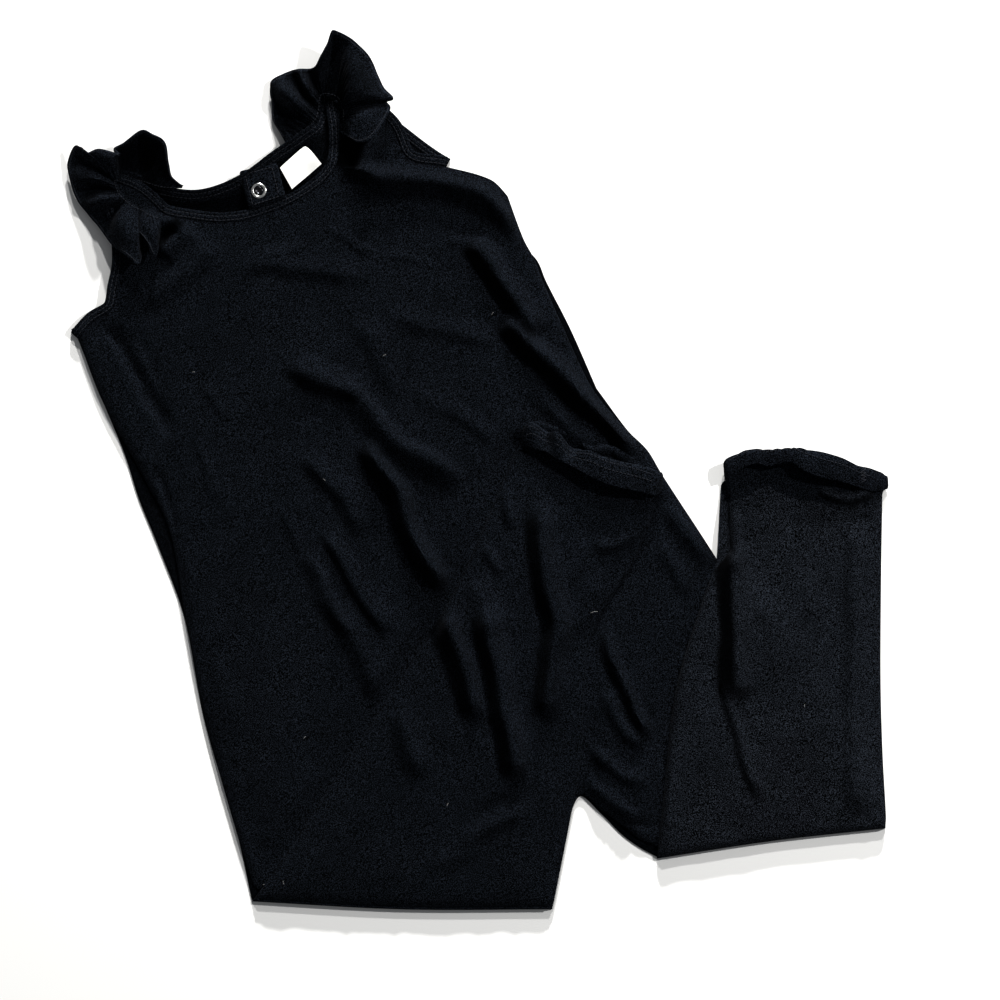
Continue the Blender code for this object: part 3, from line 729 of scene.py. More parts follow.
def turned_round(name: str, centre: Place, profile: Sequence[Place], hollow: bool,
                 finish: Material, sides: int = 56) -> Piece:
    """A round piece: a profile turned about an upright line.

    Args:
        name: The piece's name.
        centre: Where the line stands.
        profile: Its places, as distance from the line and height.
        hollow: Whether the profile is a closed loop, which makes a ring, or is capped at both ends.
        finish: Its material.
        sides: How many flats make up the round.

    Returns:
        The object.
    """
    points, faces = [], []
    size = len(profile)
    for s in range(sides):
        turn = 2 * math.pi * s / sides
        c, n = math.cos(turn), math.sin(turn)
        points += [(centre[0] + radius * c, centre[1] + radius * n, z) for radius, z in profile]
        a, b = s * size, (s + 1) % sides * size
        for k in range(size if hollow else size - 1):
            m = (k + 1) % size
            faces.append((a + k, b + k, b + m, a + m))
    if not hollow:
        faces.append(tuple(s * size for s in reversed(range(sides))))
        faces.append(tuple(s * size + size - 1 for s in range(sides)))
    return mesh_object(name, np.array(points), faces, finish)


STITCH_SHAPE = ((0.0, 0.35), (0.12, 0.85), (0.5, 1.0), (0.88, 0.85), (1.0, 0.35))
THREAD_FLATNESS = 0.8
SEAM_PITCH = 2.7


@dataclass
class Thread:
    """Stitches of one seam, gathered and then made as one mesh.

    Attributes:
        name: The piece's name.
        radius: Half the thread's width.
    """

    name: str
    radius: float = 0.27
    points: list = field(default_factory=list)
    faces: list = field(default_factory=list)

    def stitch(self, start: Array, end: Array, arch: float = 0.16) -> None:
        """Add one stitch: a short rounded bar, a little higher in its middle.

        Args:
            start: Where it comes out of the cloth.
            end: Where it goes back in.
            arch: How much higher its middle is.
        """
        length = np.linalg.norm(end - start)
        along = (end - start) / length
        side = unit(np.cross(along, (0.0, 0.0, 1.0)))
        up = np.cross(side, along)
        base = len(self.points)
        for share, width in STITCH_SHAPE:
            middle = start + along * length * share + up * arch * math.sin(math.pi * share)
            for k in range(6):
                turn = math.pi * k / 3
                rim = side * math.cos(turn) + up * math.sin(turn) * THREAD_FLATNESS
                self.points.append(middle + rim * self.radius * width)
        size = (len(STITCH_SHAPE), 6, base)
        self.faces += tube_sides(*size) + tube_ends(*size)

    def row(self, path: Array, pitch: float = SEAM_PITCH, length: float = 2.1) -> None:
        """Add stitches end to end along a path.

        Args:
            path: Its points, three coordinates each.
            pitch: From one stitch's start to the next one's.
            length: Of one stitch.
        """
        run = run_along(path)
        starts = np.arange(0.4, run[-1] - length, pitch)
        for start, end in zip(read_at(starts, run, path), read_at(starts + length, run, path)):
            self.stitch(start, end)

    def zigzag(self, path: Array, side: Array, width: float, pitch: float = 1.5) -> None:
        """Add stitches that cross a path from side to side.

        Args:
            path: Its points, three coordinates each.
            side: The direction across at each point, three coordinates.
            width: Half the width of the zigzag.
            pitch: How far along the path each stitch goes.
        """
        run = run_along(path)
        stops = np.arange(0.3, run[-1], pitch)
        swing = np.where(np.arange(len(stops)) % 2, width, -width)[:, None]
        corners = read_at(stops, run, path) + read_at(stops, run, side) * swing
        for start, end in zip(corners, corners[1:]):
            self.stitch(start, end, 0.1)

    def make(self, finish: Material) -> Piece:
        """The stitches as one finished piece."""
        piece = mesh_object(self.name, np.array(self.points), self.faces, finish, 80.0)
        return hand_in(piece, Slot.JERSEY)


# --------------------------------------------------------------------------- finishes

KNIT_SLANT = 0.42
COARSE_GRAIN = 1700.0


def wire(tree: Tree, kind: str, at: Place, values: Optional[dict] = None, **settings: object) -> Node:
    """A node of a kind, placed and set.

    Args:
        tree: Where it goes.
        kind: The node's type.
        at: Its place in the editor.
        values: Socket names or numbers, each with a value or the socket that feeds it.
        **settings: The node's own properties.

    Returns:
        The node.
    """
    node = tree.nodes.new(kind)
    node.location = at
    for name, value in settings.items():
        setattr(node, name, value)
    feed(tree, node, values or {})
    return node


def feed(tree: Tree, node: Node, values: dict) -> None:
    """Set a node's sockets, each to a value or to the socket that feeds it.

    Args:
        tree: The node's tree.
        node: The node.
        values: Socket names or numbers, each with a value or a socket.
    """
    for name, value in values.items():
        if isinstance(value, Socket):
            tree.links.new(value, node.inputs[name])
        else:
            node.inputs[name].default_value = value


def sum_of(tree: Tree, operation: str, at: Place, *values: object) -> Socket:
    """A sum of sockets and numbers, as a socket."""
    return wire(tree, "ShaderNodeMath", at, dict(enumerate(values)), operation=operation).outputs[0]


def ranged(tree: Tree, at: Place, value: Socket, **ends: float) -> Socket:
    """A value carried from one range to another; the ends are those of the node, 0 and 1 if not given."""
    names = {name.replace("_", " ").title(): end for name, end in ends.items()}
    return wire(tree, "ShaderNodeMapRange", at, {"Value": value, **names}).outputs["Result"]


def noisy(tree: Tree, at: Place, place: Socket, scale: object, **values: float) -> Socket:
    """A noise over places, as a socket."""
    names = {name.title(): value for name, value in values.items()}
    return wire(tree, "ShaderNodeTexNoise", at, {"Vector": place, "Scale": scale, **names}).outputs["Fac"]


def start_group(name: str, takes: dict[str, float], gives: Sequence[str]) -> tuple[Tree, Node, Node]:
    """A shader node group with named inputs and outputs.

    Args:
        name: The group's name.
        takes: Its inputs and what they stand at.
        gives: Its outputs.

    Returns:
        The group, its input node and its output node.
    """
    group = bpy.data.node_groups.new(name, "ShaderNodeTree")
    for label, value in takes.items():
        socket = group.interface.new_socket(name=label, in_out="INPUT", socket_type="NodeSocketFloat")
        socket.default_value = value
    for label in gives:
        group.interface.new_socket(name=label, in_out="OUTPUT", socket_type="NodeSocketFloat")
    return group, wire(group, "NodeGroupInput", (-1400, 0)), wire(group, "NodeGroupOutput", (900, 0))


def knit_group() -> Tree:
    """Columns of small V-shaped loops: the face of plain jersey, as a height.

    Returns:
        The group.
    """
    group, takes, gives = start_group("knit", {"Wale": 1100.0, "Course": 1350.0}, ["Height"])
    place = wire(group, "ShaderNodeTexCoord", (-1400, -300))
    split = wire(group, "ShaderNodeSeparateXYZ", (-1200, -300), {0: place.outputs["Object"]})
    leaning = sum_of(group, "MULTIPLY_ADD", (-1000, -200), split.outputs["Y"], KNIT_SLANT, split.outputs["X"])
    rising = sum_of(group, "MULTIPLY_ADD", (-1000, -400), split.outputs["X"], -KNIT_SLANT, split.outputs["Y"])
    column = sum_of(group, "MULTIPLY", (-800, -200), leaning, takes.outputs["Wale"])
    part = sum_of(group, "FRACT", (-600, -200), column)
    off_middle = sum_of(group, "ABSOLUTE", (-200, -200), sum_of(group, "SUBTRACT", (-400, -200), part, 0.5))
    course = sum_of(group, "MULTIPLY_ADD", (-600, -400), rising, takes.outputs["Course"],
                    sum_of(group, "MULTIPLY", (-600, -600), off_middle, 1.5))
    loops = sum_of(group, "SINE", (-200, -400), sum_of(group, "MULTIPLY", (-400, -400), course, 2 * math.pi))
    crown = sum_of(group, "MULTIPLY_ADD", (0, -200), off_middle, -1.7, 1.0)
    feed(group, gives, {"Height": sum_of(group, "MULTIPLY_ADD", (300, -200), loops, 0.3, crown)})
    return group


def fuzz_group() -> Tree:
    """The fine speckle of cotton: short pale fibres, worn patches, and a felted height.

    Returns:
        The group.
    """
    group, takes, gives = start_group("fuzz", {"Grain": 3000.0, "Patch": 22.0}, ["Speckle", "Worn", "Height"])
    place = wire(group, "ShaderNodeTexCoord", (-1400, -300)).outputs["Object"]
    grain = noisy(group, (-900, 0), place, takes.outputs["Grain"], detail=3.0, roughness=0.65)
    coarse = noisy(group, (-900, -300), place, COARSE_GRAIN, detail=1.0)
    both = sum_of(group, "ADD", (-600, -100), grain, coarse)
    patch = noisy(group, (-900, -600), place, takes.outputs["Patch"], detail=4.0, roughness=0.6)
    speckle = ranged(group, (-300, 0), both, from_min=1.02, from_max=1.12)
    worn = ranged(group, (-300, -400), patch, from_min=0.3, from_max=0.7)
    feed(group, gives, {"Speckle": speckle, "Worn": worn, "Height": grain})
    return group


class Effects:
    """The node groups that several finishes share."""

    def __init__(self) -> None:
        """Build each group once."""
        self.knit = knit_group()
        self.fuzz = fuzz_group()


def start_material(name: str, **values: float) -> tuple[Material, Tree, Node]:
    """A new material.

    Args:
        name: Its name.
        **values: What the Principled shader's sockets stand at, each by its name in small letters.

    Returns:
        The material, its tree and that shader.
    """
    material = bpy.data.materials.new(name)
    material.use_nodes = True
    shader = material.node_tree.nodes["Principled BSDF"]
    for label, value in values.items():
        shader.inputs[SOCKETS[label]].default_value = value
    return material, material.node_tree, shader


SOCKETS = {"roughness": "Roughness", "specular": "Specular IOR Level", "sheen": "Sheen Weight",
           "sheen_roughness": "Sheen Roughness", "metallic": "Metallic"}


def paint(tree: Tree, shader: Node, mask: Socket, first: Place3, second: Place3) -> None:
    """Colour a shader from the first to the second of two colours by a mask.

    Args:
        tree: The material's tree.
        shader: Its shader.
        mask: 0 where the first colour shows, 1 where the second does.
        first: The first colour.
        second: The second.
    """
    mix = wire(tree, "ShaderNodeMix", (-300, 200), {0: mask, 6: (*first, 1.0), 7: (*second, 1.0)},
               data_type="RGBA")
    feed(tree, shader, {"Base Color": mix.outputs[2]})


def emboss(tree: Tree, shader: Node, height: Socket, strength: float, distance: float) -> None:
    """Give a shader the fine relief of a height, as deep as a distance in metres.

    Args:
        tree: The material's tree.
        shader: Its shader.
        height: The height.
        strength: How much of it shows.
        distance: How deep a height of 1 is.
    """
    bump = wire(tree, "ShaderNodeBump", (-250, -300),
                {"Strength": strength, "Distance": distance, "Height": height})
    feed(tree, shader, {"Normal": bump.outputs["Normal"]})


@dataclass(frozen=True)
class Jersey:
    """Near-black cotton jersey, matt and finely speckled, with painted shade and painted highlights where a
    piece marks them.

    Attributes:
        name: The material's name.
        deep: Its colour between the fibres.
        pale: The colour of the raised fibres.
        sheen: How much the nap catches light that grazes it.
        relief: How strongly the loops stand out.
    """

    name: str = "black_jersey"
    deep: Place3 = (0.0004, 0.0005, 0.0007)
    pale: Place3 = (0.0245, 0.0305, 0.0418)
    sheen: float = 0.010
    relief: float = 0.5

    def make(self, effects: Effects) -> Material:
        """The finish as a material.

        Args:
            effects: The shared node groups.

        Returns:
            The material.
        """
        material, tree, shader = start_material(self.name, roughness=0.92, specular=0.01, sheen=self.sheen,
                                                sheen_roughness=0.45)
        fuzz = wire(tree, "ShaderNodeGroup", (-900, 0), node_tree=effects.fuzz)
        knit = wire(tree, "ShaderNodeGroup", (-900, -400), node_tree=effects.knit)
        worn = ranged(tree, (-700, 200), fuzz.outputs["Worn"], to_min=0.72, to_max=1.0)
        faded = sum_of(tree, "MULTIPLY", (-500, 100), fuzz.outputs["Speckle"], worn)
        # Painted shade: the attribute darkens the colour towards deep; below 0 it paints a highlight towards
        # pale.
        kept = wire(tree, "ShaderNodeAttribute", (-900, 400), attribute_name=SHADE_ATTRIBUTE)
        bare = sum_of(tree, "SUBTRACT", (-500, 400), 1.0, kept.outputs["Fac"])
        paint(tree, shader, sum_of(tree, "MULTIPLY", (-400, 250), faded, bare), self.deep, self.pale)
        height = sum_of(tree, "ADD", (-500, -300), knit.outputs["Height"], fuzz.outputs["Height"])
        emboss(tree, shader, height, self.relief, 0.00022)
        return material


@dataclass(frozen=True)
class Yarn:
    """Black sewing thread, a little brighter than the cloth."""

    name: str = "black_thread"
    colour: Place3 = (0.0238, 0.0256, 0.0314)
    bright: float = 1.7

    def make(self, effects: Effects) -> Material:
        """The finish as a material.

        Args:
            effects: The shared node groups.

        Returns:
            The material.
        """
        material, tree, shader = start_material(self.name, roughness=0.6, specular=0.05)
        fuzz = wire(tree, "ShaderNodeGroup", (-900, 0), {"Grain": 2200.0}, node_tree=effects.fuzz)
        paint(tree, shader, fuzz.outputs["Speckle"], self.colour, tuple(c * self.bright for c in self.colour))
        emboss(tree, shader, fuzz.outputs["Height"], 0.35, 0.0001)
        return material


@dataclass(frozen=True)
class Satin:
    """White satin tape with fine ribs across it."""

    name: str = "white_satin"
    colour: Place3 = (0.84, 0.84, 0.82)
    dull: float = 0.93

    def make(self, effects: Effects) -> Material:
        """The finish as a material.

        Args:
            effects: The shared node groups.

        Returns:
            The material.
        """
        material, tree, shader = start_material(self.name, roughness=0.42, sheen=0.15)
        place = wire(tree, "ShaderNodeTexCoord", (-1300, 0)).outputs["Object"]
        turned = wire(tree, "ShaderNodeMapping", (-1100, 0), {"Vector": place, "Rotation": (0.0, 0.0, -0.67)})
        ribs = wire(tree, "ShaderNodeTexWave", (-850, 0),
                    {"Vector": turned.outputs[0], "Scale": 950.0, "Distortion": 0.4})
        fuzz = wire(tree, "ShaderNodeGroup", (-850, -300), {"Patch": 60.0}, node_tree=effects.fuzz)
        paint(tree, shader, fuzz.outputs["Worn"], self.colour, tuple(c * self.dull for c in self.colour))
        emboss(tree, shader, ribs.outputs["Fac"], 0.25, 0.00008)
        return material


@dataclass(frozen=True)
class Nickel:
    """Bright nickel plate, faintly rubbed."""

    name: str = "bright_steel"
    colour: Place3 = (0.80, 0.80, 0.78)

    def make(self, effects: Effects) -> Material:
        """The finish as a material.

        Args:
            effects: The shared node groups.

        Returns:
            The material.
        """
        material, tree, shader = start_material(self.name, metallic=1.0)
        fuzz = wire(tree, "ShaderNodeGroup", (-850, -100), {"Patch": 400.0}, node_tree=effects.fuzz)
        rough = ranged(tree, (-400, -100), fuzz.outputs["Worn"], to_min=0.16, to_max=0.34)
        feed(tree, shader, {"Roughness": rough, "Base Color": (*self.colour, 1.0)})
        return material


@dataclass(frozen=True)
class Lint:
    """Pale cotton fluff."""

    name: str = "pale_lint"
    colour: Place3 = (0.42, 0.42, 0.42)
    dull: float = 0.5

    def make(self, effects: Effects) -> Material:
        """The finish as a material.

        Args:
            effects: The shared node groups.

        Returns:
            The material.
        """
        material, tree, shader = start_material(self.name, roughness=0.9)
        fuzz = wire(tree, "ShaderNodeGroup", (-850, -100), {"Grain": 3000.0}, node_tree=effects.fuzz)
        paint(tree, shader, fuzz.outputs["Speckle"], tuple(c * self.dull for c in self.colour), self.colour)
        return material


@dataclass(frozen=True)
class PaleFloor:
    """A plain, nearly white surface."""

    name: str = "pale_floor"
    colour: Place3 = (0.86, 0.86, 0.85)

    def make(self) -> Material:
        """The finish as a material.

        Returns:
            The material.
        """
        material, tree, shader = start_material(self.name, roughness=0.75, specular=0.2)
        feed(tree, shader, {"Base Color": (*self.colour, 1.0)})
        return material


@dataclass
class Wardrobe:
    """Every finish of the garment, made once.

    The right leg takes a paler copy of the jersey, painted light where it lies brighter; the back's top, seen
    inside the neck, takes a darker copy, painted shade.
    """

    jersey: Material
    # A paler copy of the jersey: painted light on the right leg.
    turned: Material
    # A darker copy of the jersey: painted shade on the back's inside.
    inside: Material
    thread: Material
    satin: Material
    nickel: Material
    socket: Material
    lint: Material

    @classmethod
    def open(cls) -> "Wardrobe":
        """Make the finishes.

        Returns:
            All of them.
        """
        effects = Effects()
        # The second jersey is paler, painted light; the third is darker, painted shade.
        finishes = (Jersey(), Jersey("black_jersey_painted_light", pale=(0.0435, 0.0512, 0.0660)),
                    Jersey("black_jersey_painted_shade", pale=(0.0080, 0.0100, 0.0135)), Yarn(), Satin(), Nickel(),
                    Nickel("dark_steel", (0.05, 0.05, 0.055)), Lint())
        return cls(*(finish.make(effects) for finish in finishes))


class Slot(Enum):
    """The material slots of the record."""

    JERSEY = "black_jersey"
    SATIN = "white_satin"
    STEEL = "bright_steel"


def hand_in(piece: Piece, slot: Slot, *nodes: str) -> Piece:
    """Let a piece ride on the body and stand for its solids.

    Args:
        piece: The finished object.
        slot: Not used.
        *nodes: The solids it stands for.

    Returns:
        The same object.
    """
    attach(piece, BODY)
    if nodes:
        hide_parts(*nodes)
    log.info("%s: %d faces", piece.name, len(piece.data.polygons))
    return piece


# --------------------------------------------------------------------------- the lay

SOFT = Bend.SOFT
ARM, SHOULDER, NECK = Edge.ARMHOLE, Edge.SHOULDER, Edge.NECK
SIDE, INSEAM, KNEE, HEM = Edge.SIDE, Edge.INSEAM, Edge.KNEE, Edge.HEM
CLOSED = (SIDE, SHOULDER, INSEAM, KNEE)

FRONT = (
    Stretch("left underarm", ARM, ((-252, 81), (-242, 92), (-230, 100), (-227, 113), (-224, 130),
        (-226, 153))),
    Stretch("left shoulder outside", SHOULDER, ((-234, 176),)),
    Stretch("left shoulder inside", NECK, ((-230, 180), (-215, 174), (-206, 167), (-197, 159),
        (-182, 156), (-161, 154), (-141, 157), (-112, 169), (-91, 187), (-88, 210))),
    Stretch("right shoulder inside", SHOULDER, ((-91, 231),)),
    Stretch("right shoulder outside", ARM, ((-84, 234), (-70, 226), (-55, 214), (-44.5, 194))),
    Stretch("right armhole low", ARM, ((-21, 189), (7, 181)), SOFT),
    Stretch("right underarm", SIDE, ((18, 171), (28, 144), (35, 131), (40, 118), (52.5, 89.5), (72, 49),
        (94.5, 22.5), (106, 11), (115, -4), (150, -58))),
    Stretch("right knee outside", KNEE, ((250, -221),)),
    Stretch("right knee inside", INSEAM, ((116, -240), (102, -234), (90, -225), (78, -216), (63, -206),
        (53, -236))),
    Stretch("left knee inside", KNEE, ((42, -271),)),
    Stretch("left knee outside", SIDE, ((-141, -265), (-153, -228), (-172, -159), (-185, -93),
        (-195, -39), (-210, -8), (-237, 42))),
)

BACK = (
    Stretch("left underarm", ARM, ((-253, 82), (-230, 100), (-224, 130), (-227, 154))),
    Stretch("left shoulder outside", SHOULDER, ((-235, 177),)),
    Stretch("left shoulder inside", NECK, ((-229, 182), (-215, 178), (-201, 171), (-174, 168),
        (-148, 177), (-124, 194), (-108, 205), (-99, 212), (-95, 221))),
    Stretch("right shoulder inside", SHOULDER, ((-93, 234),)),
    Stretch("right shoulder outside", ARM, ((-85, 237), (-56, 214))),
    Stretch("right armhole low", ARM, ((-21, 189), (6, 181)), SOFT),
    Stretch("right underarm", SIDE, ((18, 171), (28, 141), (37, 130), (42, 118), (57.5, 87.5))),
    Stretch("right hip fold", SIDE, ((74, 50), (94.5, 22.5), (106, 11), (115, -4), (150, -58))),
    Stretch("right knee outside", KNEE, ((256, -226), (184, -234))),
    Stretch("right knee inside", INSEAM, ((112, -245), (101, -239), (90, -231), (77, -218), (63, -207),
        (54, -236))),
    Stretch("left knee inside", KNEE, ((46, -277), (-48, -277))),
    Stretch("left knee outside", SIDE, ((-143, -272), (-153, -228), (-173, -159), (-186, -93),
        (-203, -47), (-214, -20), (-223, 8), (-237, 42))),
)

LEFT_SHIN = (
    Stretch("knee outside", SIDE, ((-143, -273), (-121, -243), (-86, -189), (-50, -134), (-15, -77),
        (13, -14))),
    Stretch("hem outside", HEM, ((23, 11), (76, -5))),
    Stretch("hem inside", SIDE, ((111, -23), (97, -60), (78, -90), (69, -112), (66, -142), (64, -184),
        (57, -222))),
    Stretch("knee inside", KNEE, ((46, -278), (-48, -278))),
)

RIGHT_SHIN = (
    Stretch("knee inside", SIDE, ((112, -246), (116, -207), (124, -139), (141, -82))),
    Stretch("shin inside notch", SIDE, ((147, -66),)),
    Stretch("shin inside high", SIDE, ((158, -52),)),
    Stretch("hem inside", HEM, ((156, -7), (172, 3), (196, 4), (224, -5))),
    Stretch("hem outside", SIDE, ((254, -13), (253, -83), (253, -146))),
    Stretch("knee outside", KNEE, ((256, -227), (184, -235))),
)
UNDER_SHOWS = {
    "shin inside high": ((149.0, -49.0),),
    "hem inside": ((151.2, -9.0), (172, 3), (196, 4), (224, -5)),
}


@dataclass(frozen=True)
class Heights:
    """How high the layers lie, and how they turn down at their edges.

    Attributes:
        cloth: The jersey's thickness.
        back: The back's top.
        back_edge: The same at its very edge.
        back_roll: How far in it rounds off.
        neck_rise: How high the back stands behind the neck's opening.
        neck_start: How far past the front's neck that starts.
        neck_reach: Over what distance it grows.
        neck_hold: How far in from its own edge it keeps standing.
        seam: The front's top at its seams.
        front: The front's top where nothing lies on it.
        pressed: The same under a leg.
        front_roll: How far in it rounds off.
        front_waver: How much of the loose jersey's unevenness it shows.
        pressed_relief: The share of its relief left under a leg.
        press_clear: How far past a leg's edge the front stays pressed.
        press_reach: Over what distance it rises from there.
        seam_calm: Over what distance from a seam its relief grows.
        opening_relief: The share of its relief at the neck and the armholes.
        opening_calm: Over what distance from those it grows.
        shin: How much higher than the thigh a leg's top lies.
        shin_puff: How much more its middle does.
        puff_reach: Over what distance from its edge.
        shin_waver: How much of the loose jersey's unevenness a leg shows.
        shin_calm: Over what distance from its edge its relief grows.
        shin_edge: How much higher than the thigh its very edge lies.
        shin_roll: How far in it rounds off.
        knee_edge: Its top at the knee's fold.
        knee_rise: Over what distance from the knee that rises.
        low_start: The Y where the low half of a leg starts.
        low_reach: Over what distance its roundness changes there.
        drape_start: How far past the thigh a leg starts to drop to the surface.
        drape: Over what distance it does.
    """

    cloth: float = 0.9
    back: float = 1.4
    back_edge: float = 0.35
    back_roll: float = 2.5
    neck_rise: float = 4.5
    neck_start: float = 4.0
    neck_reach: float = 12.0
    neck_hold: float = 8.0
    seam: float = 1.7
    front: float = 5.6
    pressed: float = 3.2
    front_roll: float = 8.0
    front_waver: float = 1.25
    pressed_relief: float = 0.12
    press_clear: float = 2.0
    press_reach: float = 13.0
    seam_calm: float = 9.0
    opening_relief: float = 0.3
    opening_calm: float = 14.0
    shin: float = 3.3
    shin_puff: float = 1.3
    puff_reach: float = 26.0
    shin_waver: float = 1.05
    shin_calm: float = 7.0
    shin_edge: float = 0.9
    shin_roll: float = 5.5
    knee_edge: float = 0.45
    knee_rise: float = 8.0
    low_start: float = -70.0
    low_reach: float = 80.0
    drape_start: float = 5.0
    drape: float = 20.0


class Lay:
    """The panels' outlines as they lie, and how high the cloth is anywhere."""

    step = 2.0

    def __init__(self) -> None:
        """Run the outlines once."""
        self.heights = Heights()
        self.front = Outline(FRONT, self.step)
        self.back = Outline(BACK, self.step)
        self.left_shin = Outline(LEFT_SHIN, self.step)
        self.right_shin = Outline(RIGHT_SHIN, self.step)
        under = [part._replace(places=UNDER_SHOWS.get(part.start, part.places)) for part in RIGHT_SHIN]
        self.right_under = Outline(under, self.step)

    def neck_rise(self, p: Array) -> Array:
        """How far the back stands up behind the neck's opening.

        Args:
            p: The points.

        Returns:
            A height for each.
        """
        h = self.heights
        bare = eased(-self.front.depth(p), h.neck_start, h.neck_reach)
        near = np.exp(-(self.back.distance(p, (NECK,)) / h.neck_hold) ** 2)
        return h.neck_rise * bare * near * (1.0 + 0.15 * ripple(p, 30.0, 15.0))

    def back_top(self, p: Array) -> Array:
        """The top of the back: level, rounded off at its edge, standing up at the neck.

        Args:
            p: The points.

        Returns:
            A height for each.
        """
        h = self.heights
        edge = self.back.distance(p)
        level = h.back_edge + (h.back - h.back_edge) * rolled(edge, h.back_roll) + 0.12 * ripple(p, 17.0, 3.0)
        return level + self.neck_rise(p)

    def freedom(self, p: Array) -> Array:
        """From 0 under the folded-up shins to 1 where nothing lies on the front.

        Args:
            p: The points.

        Returns:
            A share for each.
        """
        h = self.heights
        near = np.maximum(self.left_shin.depth(p), self.right_shin.depth(p))
        return eased(-near, h.press_clear, h.press_reach)

    def front_top(self, p: Array, folds: Sequence[Fold]) -> Array:
        """The top of the front.

        Args:
            p: The points.
            folds: Its creases.

        Returns:
            The height at each point.
        """
        h = self.heights
        free = self.freedom(p)
        closed = self.front.distance(p, CLOSED)
        open_edge = self.front.distance(p, (NECK, ARM))
        level = h.pressed + (h.front - h.pressed) * free
        relief = all_folds(p, folds) + h.front_waver * lay_of_cloth(p, 62.0, 20.0)
        relief *= h.pressed_relief + (1.0 - h.pressed_relief) * free
        relief *= smoothstep(closed / h.seam_calm)
        relief *= h.opening_relief + (1.0 - h.opening_relief) * smoothstep(open_edge / h.opening_calm)
        pucker = 0.14 * ripple(p, 4.2, 44.0) * np.exp(-(closed / 4.0) ** 2)
        return h.seam + (level - h.seam) * rolled(closed, h.front_roll) + relief + pucker

    def left_floor(self, p: Array) -> Array:
        """What the left shin lies on: the thigh."""
        return np.full(len(p), self.heights.pressed)

    def right_floor(self, p: Array) -> Array:
        """What the right shin lies on: the thigh, then the surface past its outer side."""
        h = self.heights
        return h.pressed * (1.0 - eased(-self.front.depth(p), h.drape_start, h.drape))
